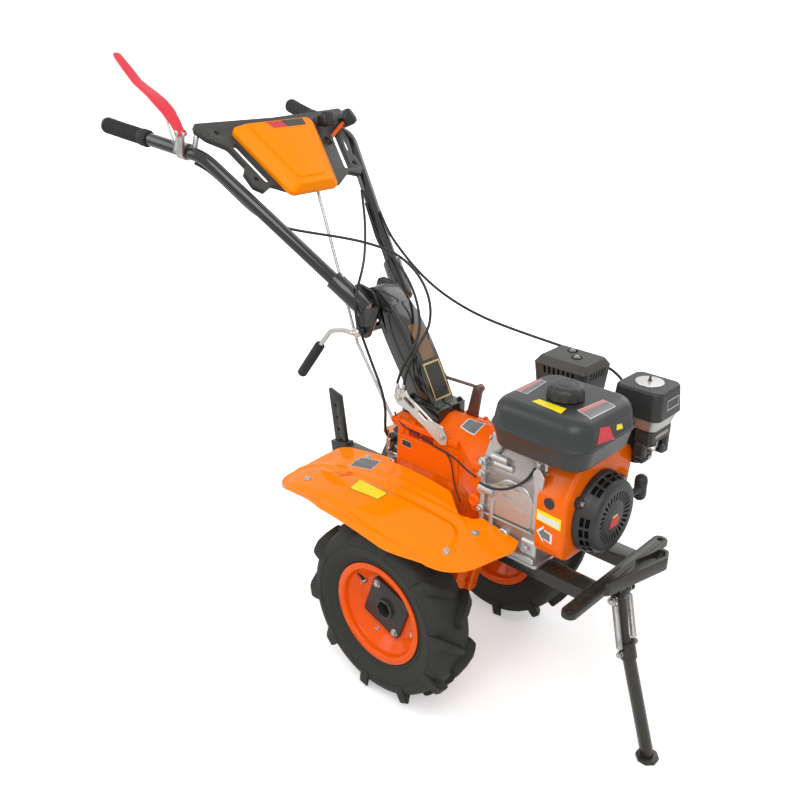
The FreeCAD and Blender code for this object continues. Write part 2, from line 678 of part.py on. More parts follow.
def fender_surface(lift):
    grid = [[V(x, y, z + lift) for y, z in zip(FENDER_YS, zs)] for x, zs in FENDER_GRID]
    skin = Part.BSplineSurface()
    skin.interpolate(grid)
    return skin.toShape()


def above_fender(lift):
    return fender_surface(lift).extrude(V(0, 0, 300))


def fender():
    sheet = fender_surface(0).extrude(V(0, 0, FENDER_T))
    plan = prism_xy([(-282, -60, 26), (-286, -258, 44), (-120, -278, 60), (60, -278, 110), (214, -238, 90),
                     (258, -122, 26), (250, -101, 6), (BELL_X1 + 6, -101, 8), (BELL_X1 - 24, -130, 20),
                     (64, -84, 30), (-120, -70, 14), (-132, -60, 8)], 300, 600)
    return sheet.common(plan)


def fender_straps():
    """Right side: a front bracket from the rail, out under the sheet, and a rear strap with its post."""
    under = fender_surface(-4).extrude(V(0, 0, 4)).common(box(172, 202, -226, -107, 300, 600))
    front = [box(172, 202, -112, -RAIL_OUT, RAIL_TOP - 20, RAIL_TOP - 14),
             box(172, 202, -112, -107, RAIL_TOP - 20, 480).cut(above_fender(0)), under]
    rear = [box(-232, -206, -222, -16, 392, 398), rod_z(-219, -210, 9, 394, 480)]
    return [joined(front), joined(rear).cut(above_fender(0))]


# ---------------------------------------------------------------- handle column, yoke and bars
def handle_column():
    front = Part.BSplineCurve()
    front.interpolate([V(-24, 0, FOOT_Z - 8), V(-40, 0, 626), V(-75, 0, 690), V(-120, 0, 756),
                       V(-165, 0, 800), V(PIVOT_X + 4, 0, PIVOT_Z + COLUMN_NOSE)])
    rear = Part.BSplineCurve()
    rear.interpolate([V(PIVOT_X + 10, 0, PIVOT_Z - COLUMN_NOSE + 2), V(-182, 0, 728), V(-152, 0, 680),
                      V(-124, 0, 638), V(-104, 0, FOOT_Z - 8)])
    nose = Part.Arc(V(PIVOT_X + 4, 0, PIVOT_Z + COLUMN_NOSE), V(PIVOT_X - COLUMN_NOSE, 0, PIVOT_Z),
                    V(PIVOT_X + 10, 0, PIVOT_Z - COLUMN_NOSE + 2))
    base = Part.makeLine(V(-104, 0, FOOT_Z - 8), V(-24, 0, FOOT_Z - 8))
    wire = Part.Wire([front.toShape(), nose.toShape(), rear.toShape(), base])
    face = Part.Face(wire)
    face.translate(V(0, -COLUMN_HW, 0))
    body = face.extrude(V(0, 2 * COLUMN_HW, 0))
    foot = box(-112, -8, -42, 42, COVER_EDGE_Z, FOOT_Z).cut(gearbox_cover())
    body = joined([body, foot])
    return body.cut(rod_y(PIVOT_X, PIVOT_Z, PIVOT_R + RUN_FIT, -100, 100))


def barrel_line():
    along = BAR_P0.sub(BAR_P1).normalize()
    inner = BAR_P0 + along * 92
    return inner, BAR_P0, along


def handle_yoke():
    """Two cheeks on the pivot pin, a tube socket on each and the lower clamp bolt."""
    inner, outer, along = barrel_line()
    y0 = COLUMN_HW + CHEEK_GAP
    cheek = prism_xz([(PIVOT_X + 26, PIVOT_Z - 6, 20), (PIVOT_X + 6, PIVOT_Z + 27, 20),
                      (PIVOT_X - 46, PIVOT_Z + 36, 14), (PIVOT_X - 56, PIVOT_Z + 4, 16),
                      (PIVOT_X - 42, PIVOT_Z - 78, 12), (PIVOT_X - 10, PIVOT_Z - 84, 12)], y0, y0 + CHEEK_T)
    barrel = rod(inner, outer, BARREL_R)
    barrel = barrel.cut(box(-400, 0, -100, y0, 600, 1000))
    pin = rod_y(PIVOT_X, PIVOT_Z, PIVOT_R, -y0 - CHEEK_T - 8, y0 + CHEEK_T + 8)
    clamp = rod_y(PIVOT_X - 26, PIVOT_Z - 68, 9, -y0 - CHEEK_T - 6, y0 + CHEEK_T + 4)
    body = joined([cheek, mirrored(cheek), barrel, mirrored(barrel), pin, clamp])
    socket = rod(outer + along * 74, outer - along * 1, TUBE_R + TUBE_FIT)
    return body.cut(socket).cut(mirrored(socket))


def handlebar():
    """Right tube, from the floor of its socket to the grip end."""
    inner, outer, along = barrel_line()
    start = left_point(outer + along * 72)
    return pipe([start, left_point(BAR_P1), left_point(BAR_P2)], TUBE_R, BAR_BEND)


def grip():
    end = left_point(BAR_P2)
    along = left_point(BAR_P1).sub(end).normalize()
    sleeve = rod(end - along * 3, end + along * GRIP_LEN, GRIP_R)
    sleeve = softened(sleeve, 6.0, lambda e: e.Length > 100)
    return sleeve.cut(rod(end, end + along * (GRIP_LEN + 1), TUBE_R + 0.1))


def plane_point(y, s, n):
    """Point beside the handle tubes' plane: y across, s up the slope from the sockets, n above."""
    run = V(BAR_P1.x - BAR_P0.x, 0, BAR_P1.z - BAR_P0.z).normalize()
    up = V(run.z, 0, -run.x)
    return V(BAR_P0.x, 0, BAR_P0.z) + run * s + up * n + V(0, y, 0)


def plane_wire(points, n):
    return rounded([(plane_point(p[0], p[1], n), p[2] if len(p) > 2 else 0.0) for p in points])


def plane_prism(points, n0, n1):
    up = plane_point(0, 0, n1).sub(plane_point(0, 0, n0))
    return Part.Face(plane_wire(points, n0)).extrude(up)


def control_panel():
    n0, n1 = PANEL_N0, PANEL_N0 + PANEL_T
    half = [(0, 208), (70, 212, 8), (112, 236, 8), (140, 224, 5), (158, 240, 5), (160, 276, 8), (146, 292, 8),
            (160, 344, 14), (196, 372, 14), (212, 398, 6), (206, 414, 6), (0, 408)]
    other = [(-p[0],) + tuple(p[1:]) for p in reversed(half[1:-1])]
    plate = plane_prism(half + other, n0, n1)
    for s in (-1, 1):
        slit = [(s * 106, 246, 5), (s * 124, 244, 5), (s * 150, 345, 6), (s * 134, 352, 6)]
        plate = plate.cut(plane_prism(slit, n0 - 1, n1 + 1))
        for y, at, r in ((166, 384, 6.0), (142, 256, 6.0)):
            hole = rod(plane_point(s * y, at, n0 - 1), plane_point(s * y, at, n1 + 1), r)
            plate = plate.cut(hole)
    return plate


def hood_outline(wide, narrow, low, high, radius):
    """Hood seen square to the panel: wide at its upper edge and narrow at its lower one."""
    return [(HOOD_Y + y, s, radius) for y, s in ((-wide, high), (-narrow, low), (narrow, low), (wide, high))]


def panel_hood():
    n0 = PANEL_N0 + PANEL_T
    base = hood_outline(117, 67, 198, 386, 16)
    top = hood_outline(98, 47, 208, 378, 14)
    skirt = Part.makeLoft([plane_wire(base, n0), plane_wire(base, n0 + HOOD_STEP)], True, True)
    dome = Part.makeLoft([plane_wire(base, n0 + HOOD_STEP), plane_wire(top, n0 + HOOD_H)], True, True)
    inner_base = hood_outline(110, 62, 205, 380, 12)
    inner_top = hood_outline(93, 44, 213, 373, 12)
    hollow = Part.makeLoft([plane_wire(inner_base, n0 - 1), plane_wire(inner_top, n0 + HOOD_H - HOOD_WALL)],
                           True, True)
    return joined([skirt, dome]).cut(hollow)


def tube_clamps():
    """Lever clamp on the right tube, and a post from each tube to the panel's wing."""
    bend = left_point(BAR_P1)
    along = left_point(BAR_P2).sub(bend).normalize()
    tube = rod(bend - along * 20, bend + along * 120, TUBE_R)
    centre = bend + along * 52
    ring = rod(centre - along * 10, centre + along * 10, TUBE_R + 4)
    lug = prism_xz([(-592, 1080), (-560, 1080), (-551, 1122, 8), (-570, 1131, 8)], LEVER_Y - 3, LEVER_Y + 3)
    pin = rod_y(LEVER_X, LEVER_Z, 4.0, LEVER_Y - 10, LEVER_Y + 10)
    post = rod(plane_point(-203, 398, PANEL_N0), bend + along * 27, 6.0)
    clamp = joined([ring, lug, pin]).cut(tube).cut(handlebar())
    post = post.cut(tube).cut(handlebar())
    post = post.cut(control_panel())
    return [clamp, post, mirrored(post)]


def clutch_lever():
    """Pressed lever above the right grip, on the clamp's pin."""
    x, z = LEVER_X, LEVER_Z
    side = [(x - 8, z - 8, 6), (-606, 1155, 20), (-657, 1184, 30), (-711, 1206, 60), (-784, 1261, 5),
            (-777, 1271, 5), (-702, 1218, 60), (-648, 1196, 30), (-594, 1170, 30), (x + 9, z + 6, 8),
            (x + 7, z - 8, 6)]
    lever = prism_xz(side, LEVER_Y - 9, LEVER_Y + 9)
    slot = box(-612, x + 20, LEVER_Y - 3.1, LEVER_Y + 3.1, z - 20, z + 60)
    return lever.cut(slot).cut(rod_y(x, z, 4.05, -300, -200))


def shift_levers():
    """Gear lever beside the hood and the reverse lever, both through the panel."""
    n1 = PANEL_N0 + PANEL_T
    levers = []
    for y, s, top in ((120, 384, plane_point(118, 370, 46)), (110, 326, plane_point(180, 363, 43))):
        foot = plane_point(y, s, n1)
        along = top.sub(foot).normalize()
        stem = rod(foot, top, 5.0)
        knob = softened(rod(top - along * 8, top + along * 18, 13.5), 7.0, lambda e: e.Length > 60)
        levers.append(joined([stem, knob]).cut(control_panel()))
    return levers


def clamp_lever():
    """Bent lever with a black grip that tightens the yoke on the column."""
    x, z = PIVOT_X - 26, PIVOT_Z - 68
    out = -(COLUMN_HW + CHEEK_GAP + CHEEK_T + 6)
    boss = rod_y(x, z, 11, out - 12, out)
    grip_start = V(-389, -30, 640)
    grip_end = V(-456, -25, 557)
    bar = pipe([V(x, out - 6, z), V(-275, out - 4, 716), V(-337, -35, 696), grip_start], 6.0, 26.0)
    handle = rod(grip_start - (grip_end - grip_start).normalize() * 10, grip_end, 12.0)
    return joined([boss, bar, softened(handle, 4.0, lambda e: e.Length > 60)])


def gear_arm():
    """Dark arm on the gear case's top with its rod to an eye on the column."""
    arm = prism_xz([(0, COVER_EDGE_Z), (26, COVER_EDGE_Z), (37, 641, 9), (19, 649, 9)], 35, 45)
    arm = arm.cut(gearbox_cover())
    eye = rod_y(28, 639, 9, 34, 50)
    link = rod(V(28, 47, 639), V(-70, 40, 640), 3.5)
    anchor = rod_y(-70, 640, 7, COLUMN_HW, 45)
    return joined([arm, eye, link, anchor])


def cable_bracket():
    """Bright strap along the gear case's right ridge; the cables end on it."""
    y1 = -BOX_HW - 8
    strap = prism_xz([(-122, 630, 4), (-100, 652, 6), (-76, 626, 12), (-28, 602, 12), (12, 580, 12),
                      (36, 556, 10), (26, 546, 6), (12, 548, 6), (-12, 568, 12), (-46, 586, 12),
                      (-94, 602, 10)], y1 - 3, y1)
    bolt = rod_y(24, 557, 7, y1 - 8, y1)
    foot = box(8, 30, y1 - 3, y1, 548, 562)
    return joined([strap, foot, bolt])


def shift_rod():
    """Thin rod from under the hood down to the lug at the back of the gearbox."""
    start = plane_point(10, 225, PANEL_N0)
    return rod(start, ROD_LUG, ROD_R).cut(control_panel())


CLUTCH_CABLE = [  # from the lever, under the right tube, over to the column's front and down its right side
    V(-552, -214, 1060), V(-531, -206, 1052), V(-505, -196, 1034), V(-473, -180, 1003),
    V(-434, -160, 965), V(-407, -137, 944), V(-372, -116, 934), V(-330, -82, 926), V(-285, -46, 919),
    V(-240, -10, 908), V(-195, 28, 888), V(-150, 50, 846), V(-108, 40, 798), V(-78, 4, 757),
    V(-80, -32, 724), V(-84, -49, 690), V(-89, -58, 664), V(-88, -64, 642)]
REVERSE_CABLE = [  # from the left tube to the same end
    V(-388, 127, 950), V(-350, 108, 915), V(-304, 85, 874), V(-255, 75, 861), V(-205, 62, 838),
    V(-155, 42, 804), V(-112, 12, 766), V(-87, -20, 742), V(-88, -46, 706), V(-103, -56, 673),
    V(-106, -64, 644)]
SHIFT_CABLE = [  # from the left tube, across the yoke's right cheek, down to the drawbar
    V(-414, 139, 974), V(-382, 114, 946), V(-345, 82, 916), V(-305, 42, 884), V(-264, -2, 866),
    V(-228, -46, 851), V(-206, -87, 816), V(-200, -90, 770), V(-190, -78, 720), V(-168, -75, 672),
    V(-140, -77, 628), V(-126, -78, 584), V(-134, -72, 540), V(-146, -56, 510), V(-148, -42, 496)]
THROTTLE_CABLE = [  # from the left tube over the engine and behind the muffler to the carburettor
    V(-346, 131, 936), V(-306, 113, 903), V(-260, 108, 868), V(-208, 106, 832), V(-150, 106, 802),
    V(-88, 110, 779), V(-24, 120, 761), V(40, 136, 748), V(98, 160, 734), V(148, 190, 718),
    V(200, 203, 704), V(246, 205, 692), V(277, 201, 671), V(296, 187, 647), V(321, 162, 628)]


def main():
    os.makedirs("parts", exist_ok=True)
    put("axle_shaft", axle_shaft())
    both_sides("hub", hub())
    both_sides("rim", rim())
    both_sides("tyre", tyre())

    put("drive_case", drive_case())
    put("gearbox_housing", gearbox_housing())
    put("gearbox_cover", gearbox_cover())
    put("bell_housing", bell_housing())
    put("gear_arm", gear_arm())
    put("cable_bracket", cable_bracket())

    put("engine_plate", engine_plate())
    put("crankcase", crankcase())
    put("cylinder_block", cylinder_block())
    put("fan_shroud", fan_shroud())
    put("recoil_cover", recoil_cover())
    put("starter_grip", starter_grip())
    put("fuel_tank", fuel_tank())
    put("fuel_cap", fuel_cap())
    put("muffler_cover", muffler_cover())
    put("muffler_pipe", muffler_pipe())
    cover, base = air_cleaner()
    put("air_cleaner_cover", cover)
    put("air_cleaner_base", base)
    put("carburettor", carburettor())

    rail = frame_rail()
    put("frame_rails", Part.Compound([rail, mirrored(rail)]))
    put("cross_bar", cross_bar())
    put("guard_strip", guard_strip())
    put("stand_lugs", stand_lugs())
    put("stand_leg", stand_leg())
    put("stand_foot", stand_foot())
    spring = stand_spring()
    put("stand_springs", Part.Compound([spring, mirrored(spring)]))
    put("depth_stake", depth_stake())
    put("stake_socket", stake_socket())
    put("hitch_frame", hitch_frame())
    both_sides("fender", fender())
    straps = fender_straps()
    put("fender_straps", Part.Compound(straps + [mirrored(strap) for strap in straps]))

    put("handle_column", handle_column())
    put("handle_yoke", handle_yoke())
    both_sides("handlebar", handlebar())
    rubber = grip()
    put("grips", Part.Compound([rubber, mirrored(rubber)]))
    put("control_panel", control_panel())
    put("panel_hood", panel_hood())
    put("tube_clamps", Part.Compound(tube_clamps()))
    put("clutch_lever", clutch_lever())
    put("shift_levers", Part.Compound(shift_levers()))
    put("clamp_lever", clamp_lever())
    put("shift_rod", shift_rod())
    put("clutch_cable", cord(CLUTCH_CABLE, CABLE_D))
    put("reverse_cable", cord(REVERSE_CABLE, CABLE_D))
    put("shift_cable", cord(SHIFT_CABLE, CABLE_D))
    put("throttle_cable", cord(THROTTLE_CABLE, CABLE_D))


main()
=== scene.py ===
"""Looks of the power weeder: paint, rubber, castings, fasteners, labels, cables, camera and light.

Metres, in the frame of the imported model: +X is the way the machine drives, +Y its left side, +Z up.
Sizes in the tables and calls below are in millimetres, and places are counted from the floor under the axle.
"""

import json
import math

import bmesh
import bpy
from mathutils import Matrix, Vector
from mathutils.bvhtree import BVHTree
from mathutils.geometry import delaunay_2d_cdt


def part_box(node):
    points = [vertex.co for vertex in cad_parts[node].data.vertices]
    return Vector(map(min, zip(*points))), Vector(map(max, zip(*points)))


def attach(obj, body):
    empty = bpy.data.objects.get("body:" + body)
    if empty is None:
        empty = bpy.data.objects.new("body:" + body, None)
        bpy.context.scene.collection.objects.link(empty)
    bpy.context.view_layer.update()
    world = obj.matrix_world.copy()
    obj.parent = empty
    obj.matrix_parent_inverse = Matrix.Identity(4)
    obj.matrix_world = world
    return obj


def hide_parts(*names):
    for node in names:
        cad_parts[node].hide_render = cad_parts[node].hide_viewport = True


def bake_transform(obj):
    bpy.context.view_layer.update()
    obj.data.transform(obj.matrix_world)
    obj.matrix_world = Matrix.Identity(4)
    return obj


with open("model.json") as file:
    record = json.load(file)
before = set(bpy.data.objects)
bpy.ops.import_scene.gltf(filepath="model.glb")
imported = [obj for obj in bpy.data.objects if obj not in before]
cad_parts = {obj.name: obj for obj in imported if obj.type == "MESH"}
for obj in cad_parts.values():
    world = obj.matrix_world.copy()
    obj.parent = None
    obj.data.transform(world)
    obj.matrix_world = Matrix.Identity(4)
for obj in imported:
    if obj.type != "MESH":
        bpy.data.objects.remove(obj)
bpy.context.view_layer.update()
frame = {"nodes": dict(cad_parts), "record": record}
NODES = frame["nodes"]
BODY_OF = {node: body for body, nodes in frame["record"]["behaviour"]["bodies"].items() for node in nodes}
SLOT_OF = {part["node"]: part["material_slot"] for part in frame["record"]["subparts"]}

X, Y, Z = Vector((1, 0, 0)), Vector((0, 1, 0)), Vector((0, 0, 1))
MM = 0.001
RIGHT_LEFT = (("right", -1), ("left", 1))
AXLE_X = (sum(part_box("axle_shaft"), Vector()) / 2).x


def at(x, y, z):
    """Place given in millimetres from the floor under the wheel axle."""
    return Vector((AXLE_X + x * MM, y * MM, z * MM))


def placed(place):
    return place if isinstance(place, Vector) else at(*place)


def mirrored(*spots):
    """The spots on both sides of the machine, each with its way outwards."""
    return [((x, side * y, z), Y * side) for side in (-1, 1) for x, y, z in spots]


# ---------------------------------------------------------------- meshes and pieces
def new_piece(name, data):
    piece = bpy.data.objects.new(name, data)
    bpy.context.scene.collection.objects.link(piece)
    return piece


def painted(mesh, material):
    if material is not None:
        mesh.materials.clear()
        mesh.materials.append(material)
    return mesh


def mesh_of(points, faces, material=None):
    mesh = bpy.data.meshes.new("mesh")
    mesh.from_pydata([tuple(p) for p in points], [], faces)
    mesh.validate()
    return painted(mesh, material)


def skinned(rings, material=None, closed=True, ends=(True, True)):
    """Mesh through rings of as many points each; closed rings, and ends filled, as asked."""
    n = len(rings[0])
    faces = [(j * n + i, j * n + (i + 1) % n, (j + 1) * n + (i + 1) % n, (j + 1) * n + i)
             for j in range(len(rings) - 1) for i in range(n if closed else n - 1)]
    for filled, first in zip(ends, (0, (len(rings) - 1) * n)):
        if filled:
            faces.append(tuple(range(first, first + n)))
    return mesh_of([p for ring in rings for p in ring], faces, material)


def edited(mesh, edit, into=None):
    """The mesh, or another one, as it is after edit has worked on it."""
    bm = bmesh.new()
    bm.from_mesh(mesh)
    edit(bm)
    bm.to_mesh(into or mesh)
    bm.free()
    return into or mesh


def outward(mesh):
    def turn(bm):
        bmesh.ops.remove_doubles(bm, verts=bm.verts, dist=1e-6)
        bmesh.ops.recalc_face_normals(bm, faces=bm.faces)
    return edited(mesh, turn)


def facing(mesh, way):
    """Turns the faces that look away from the given way."""
    for face in mesh.polygons:
        if face.normal.dot(way) < 0:
            face.flip()


def baked(piece):
    """Plain mesh of a curve or of a piece with modifiers; the piece goes."""
    bpy.context.view_layer.update()
    mesh = bpy.data.meshes.new_from_object(piece.evaluated_get(bpy.context.evaluated_depsgraph_get()))
    old = piece.data
    bpy.data.objects.remove(piece)
    if isinstance(old, bpy.types.Curve):
        bpy.data.curves.remove(old)
    return mesh


def walled(mesh, thickness, offset):
    """The sheet with its wall, in millimetres."""
    piece = new_piece("sheet", mesh)
    wall = piece.modifiers.new("wall", "SOLIDIFY")
    wall.thickness, wall.offset = thickness * MM, offset
    return baked(piece)


def bevelled(mesh, width, angle=30.0, segments=2):
    piece = new_piece("edges", mesh)
    edge = piece.modifiers.new("edges", "BEVEL")
    edge.width, edge.segments = width * MM, segments
    edge.limit_method, edge.angle_limit = "ANGLE", math.radians(angle)
    return baked(piece)


def made(name, meshes, body, material=None, replaces=(), angle=35.0):
    """Piece of the meshes, with the finish for those that have none, and the nodes that it stands for."""
    whole, finishes = bpy.data.meshes.new(name), []
    bm = bmesh.new()
    for mesh in meshes:
        first = len(bm.faces)
        bm.from_mesh(mesh)
        bm.faces.ensure_lookup_table()
        for face in bm.faces[first:]:
            own = mesh.materials[face.material_index] if mesh.materials else material
            if own not in finishes:
                finishes.append(own)
            face.material_index = finishes.index(own)
    bm.to_mesh(whole)
    bm.free()
    for own in finishes:
        whole.materials.append(own)
    if angle is not None:
        whole.shade_smooth()
        whole.set_sharp_from_angle(angle=math.radians(angle))
    piece = new_piece(name, whole)
    if body is not None:
        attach(piece, body)
    if replaces:
        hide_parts(*replaces)
    return piece


def rounded_outline(points, steps=5):
    """Closed 2-D outline; each point is (u, v) or (u, v, corner radius)."""
    ring = []
    for i, p in enumerate(points):
        corner = Vector(p[:2])
        radius = p[2] if len(p) > 2 else 0.0
        if radius <= 0:
            ring.append(corner)
            continue
        a = (Vector(points[i - 1][:2]) - corner).normalized()
        b = (Vector(points[(i + 1) % len(points)][:2]) - corner).normalized()
        half = a.angle(b) / 2
        centre = corner + (a + b).normalized() * radius / math.sin(half)
        start = corner + a * radius / math.tan(half) - centre
        turn = start.angle_signed(corner + b * radius / math.tan(half) - centre)
        ring += [centre + Matrix.Rotation(-turn * k / steps, 2) @ start for k in range(steps + 1)]
    return ring


def turned(profile, place, axis, segments=32, material=None, closed=False, capped=True):
    """Mesh of a turned part: profile of (radius, along) from place, closed, or capped to its axis."""
    if capped and not closed:
        profile = [(0, profile[0][1]), *profile, (0, profile[-1][1])]
    side = Y if abs(axis.x) > 0.5 else X
    turns = [Matrix.Rotation(2 * math.pi * k / segments, 3, axis) for k in [*range(segments), 0]]
    rings = [[placed(place) + (turn @ side * r + axis * t) * MM for r, t in profile] for turn in turns]
    return outward(skinned(rings, material, closed, ()))


def tube(points, radius, material, resolution=10, smooth=True):
    """Round bar or cable along points: a smooth curve, or straight runs."""
    curve = bpy.data.curves.new("tube", "CURVE")
    curve.dimensions = "3D"
    curve.bevel_depth = radius * MM
    curve.bevel_resolution = 4
    curve.use_fill_caps = True
    curve.resolution_u = resolution
    line = curve.splines.new("NURBS" if smooth else "POLY")
    line.points.add(len(points) - 1)
    for point, place in zip(line.points, points):
        point.co = (*placed(place), 1.0)
    if smooth:
        line.order_u = 3
        line.use_endpoint_u = True
    return painted(baked(new_piece("tube", curve)), material)


def block(low, high, bevel=0.0, material=None):
    """Small block with chamfered edges between two corners."""
    low, high = at(*low), at(*high)

    def cube(bm):
        bmesh.ops.create_cube(bm, size=1.0)
        for vert in bm.verts:
            vert.co = low + (vert.co + Vector((0.5, 0.5, 0.5))) * (high - low)
        if bevel:
            bmesh.ops.bevel(bm, geom=bm.edges[:], offset=bevel * MM, segments=1, affect="EDGES")
    return outward(edited(mesh_of([], [], material), cube))


def surface_of(*nodes):
    """Search tree of the frame parts' faces, to lay things on them."""
    points, faces = [], []
    for node in nodes:
        mesh, first = NODES[node].data, len(points)
        points += [v.co.copy() for v in mesh.vertices]
        faces += [tuple(first + k for k in p.vertices) for p in mesh.polygons]
    return BVHTree.FromPolygons(points, faces)


def label(name, body, corners, bands, edge=None, edge_width=1.2, lift=0.35, onto=None):
    """Blank sticker between four places (anticlockwise from outside), laid on a surface if one is given.

    bands is one finish, or (start, end, finish) shares of its height."""
    a, b, c, d = [placed(p) for p in corners]
    out = (b - a).cross(d - a).normalized()
    steps = 6 if onto is None else 14

    def spot(u, v, up):
        p = (a * (1 - u) + b * u) * (1 - v) + (d * (1 - u) + c * u) * v
        hit = None if onto is None else onto.ray_cast(p + out * 0.03, -out)[0]
        return (hit if hit is not None and (hit - p).length < 0.012 else p) + out * up * MM

    def patch(margin, low, high, up, material):
        return skinned([[spot(margin + (1 - 2 * margin) * i / steps, low + (high - low) * j / steps, up)
                         for i in range(steps + 1)] for j in range(steps + 1)], material, False, ())

    margin_u, margin_v = [edge_width * MM / way.length if edge else 0.0 for way in (b - a, d - a)]
    meshes = [patch(0, 0, 1, lift, edge)] if edge else []
    for start, stop, material in bands if isinstance(bands, list) else [(0, 1, bands)]:
        low, high = [margin_v + (1 - 2 * margin_v) * share for share in (start, stop)]
        meshes.append(patch(margin_u, low, high, lift + (0.25 if edge else 0.0), material))
    return made(name, meshes, body, angle=None)


def repaint(material, *nodes):
    """Gives frame parts that keep their own mesh a better finish."""
    for node in nodes:
        part = NODES[node]
        if not part.material_slots:
            part.data.materials.append(material)
        for place in part.material_slots:
            place.material = material


def eased(node, material, width=1.0, angle=32.0, segments=2):
    """Stands for a frame part with a copy whose edges are rounded as paint and casting round them."""
    def merged(bm):
        bmesh.ops.remove_doubles(bm, verts=bm.verts, dist=2e-6)
        bmesh.ops.dissolve_limit(bm, angle_limit=math.radians(1), verts=bm.verts, edges=bm.edges)
    mesh = bevelled(edited(NODES[node].data, merged, bpy.data.meshes.new(node)), width, angle, segments)
    return made(node + "_shape", [mesh], BODY_OF[node], material, (node,), angle)


# ---------------------------------------------------------------- node trees
SOCKET_WORDS = {float: "Float", int: "Int", tuple: "Vector"}


def node(kind, **values):
    return kind, values


def wired(tree, links, **nodes):
    """Adds nodes with values for their properties and inputs, and joins them as "node.socket > node.socket".

    A socket goes by its name, with _ for a space, or by its number."""
    def socket(sockets, key):
        key = key.replace("_", " ").strip()
        return sockets[int(key) if key.isdigit() else key]

    ready = {}
    for name, (kind, values) in nodes.items():
        ready[name] = new = tree.nodes.new(kind) if isinstance(kind, str) else kind
        for key, value in values.items():
            if hasattr(new, key):
                setattr(new, key, value)
            else:
                socket(new.inputs, key).default_value = value
    for link in links.split(","):
        (source, out), (target, into) = [end.strip().split(".") for end in link.split(">")]
        tree.links.new(socket(ready[source].outputs, out), socket(ready[target].inputs, into))


def node_tree(name, kind, inputs, outputs, links, **nodes):
    """Node group with named sockets, each given as its default value or as the word for its kind."""
    tree = bpy.data.node_groups.new(name, kind)
    for way, sockets in (("INPUT", inputs), ("OUTPUT", outputs)):
        for name, value in sockets.items():
            word = SOCKET_WORDS.get(type(value), value)
            socket = tree.interface.new_socket(name, in_out=way, socket_type="NodeSocket" + word)
            if word != value:
                socket.default_value = value
    wired(tree, links, start=node("NodeGroupInput"), end=node("NodeGroupOutput"), **nodes)
    return tree


# ---------------------------------------------------------------- finishes
# bump of a surface: a close grain over broad unevenness
GRAIN = node_tree(
    "surface_grain", "ShaderNodeTree",
    {"Grain Scale": 900.0, "Grain Depth": 0.1, "Wave Scale": 30.0, "Wave Depth": 0.05}, {"Normal": "Vector"},
    """place.Object > fine.Vector, start.Grain Scale > fine.Scale, fine.Fac > fine_bump.Height,
    place.Object > broad.Vector, start.Wave Scale > broad.Scale, broad.Fac > broad_bump.Height,
    start.Grain Depth > fine_bump.Strength, start.Wave Depth > broad_bump.Strength,
    fine_bump.Normal > broad_bump.Normal, broad_bump.Normal > end.Normal""",
    place=node("ShaderNodeTexCoord"),
    fine=node("ShaderNodeTexNoise", Detail=3.0), fine_bump=node("ShaderNodeBump", Distance=0.001),
    broad=node("ShaderNodeTexNoise", Detail=3.0), broad_bump=node("ShaderNodeBump", Distance=0.004))
# masks of patchy scuffs and handling marks, and of fine specks
WEAR = node_tree(
    "scuffs_and_specks", "ShaderNodeTree",
    {"Scuff Scale": 22.0, "Speck Scale": 420.0}, {"Scuffs": "Float", "Specks": "Float"},
    """place.Object > patch.Vector, start.Scuff Scale > patch.Scale, patch.Fac > scuffed.Value,
    place.Object > speck.Vector, start.Speck Scale > speck.Scale, speck.Fac > specked.Value,
    scuffed.Result > end.Scuffs, specked.Result > end.Specks""",
    place=node("ShaderNodeTexCoord"),
    patch=node("ShaderNodeTexNoise", Detail=5.0, Roughness=0.65), speck=node("ShaderNodeTexNoise"),
    scuffed=node("ShaderNodeMapRange", From_Min=0.46, From_Max=0.74),
    specked=node("ShaderNodeMapRange", From_Min=0.66, From_Max=0.74))


def finish(name, colour, worn, rough, shine=(0.0, 0.0, 0.5), grain=(900.0, 0.05, 25.0, 0.03),
           scuffs=(22.0, 0.5), specks=0.1, speck_colour=None):
    """Finish that goes over to its worn colour and roughness in scuffed patches, with specks and bump.

    rough is (new, worn), shine (metallic, coat, specular), grain the bump's inputs and scuffs
    (scale, strength)."""
    material = bpy.data.materials.new(name)
    material.use_nodes = True
    metallic, coat, specular = shine
    depths = dict(zip(("Grain_Scale", "Grain_Depth", "Wave_Scale", "Wave_Depth"), grain))
    wired(material.node_tree,
          """wear.Scuffs > strength.0, strength.0 > tint.Factor, tint.Result > dots.A,
          wear.Specks > speck_strength.0, speck_strength.0 > dots.Factor, dots.Result > shader.Base Color,
          wear.Scuffs > gloss.Value, gloss.Result > shader.Roughness, bump.Normal > shader.Normal""",
          shader=node(material.node_tree.nodes["Principled BSDF"], Metallic=metallic, Coat_Weight=coat,
                      Coat_Roughness=0.06, Specular_IOR_Level=specular),
          wear=node("ShaderNodeGroup", node_tree=WEAR, Scuff_Scale=scuffs[0]),
          strength=node("ShaderNodeMath", operation="MULTIPLY", _1=scuffs[1]),
          speck_strength=node("ShaderNodeMath", operation="MULTIPLY", _1=specks),
          tint=node("ShaderNodeMix", data_type="RGBA", A=(*colour, 1), B=(*worn, 1)),
          dots=node("ShaderNodeMix", data_type="RGBA", B=(*(speck_colour or worn), 1)),
          gloss=node("ShaderNodeMapRange", To_Min=rough[0], To_Max=rough[1]),
          bump=node("ShaderNodeGroup", node_tree=GRAIN, **depths))
    return material


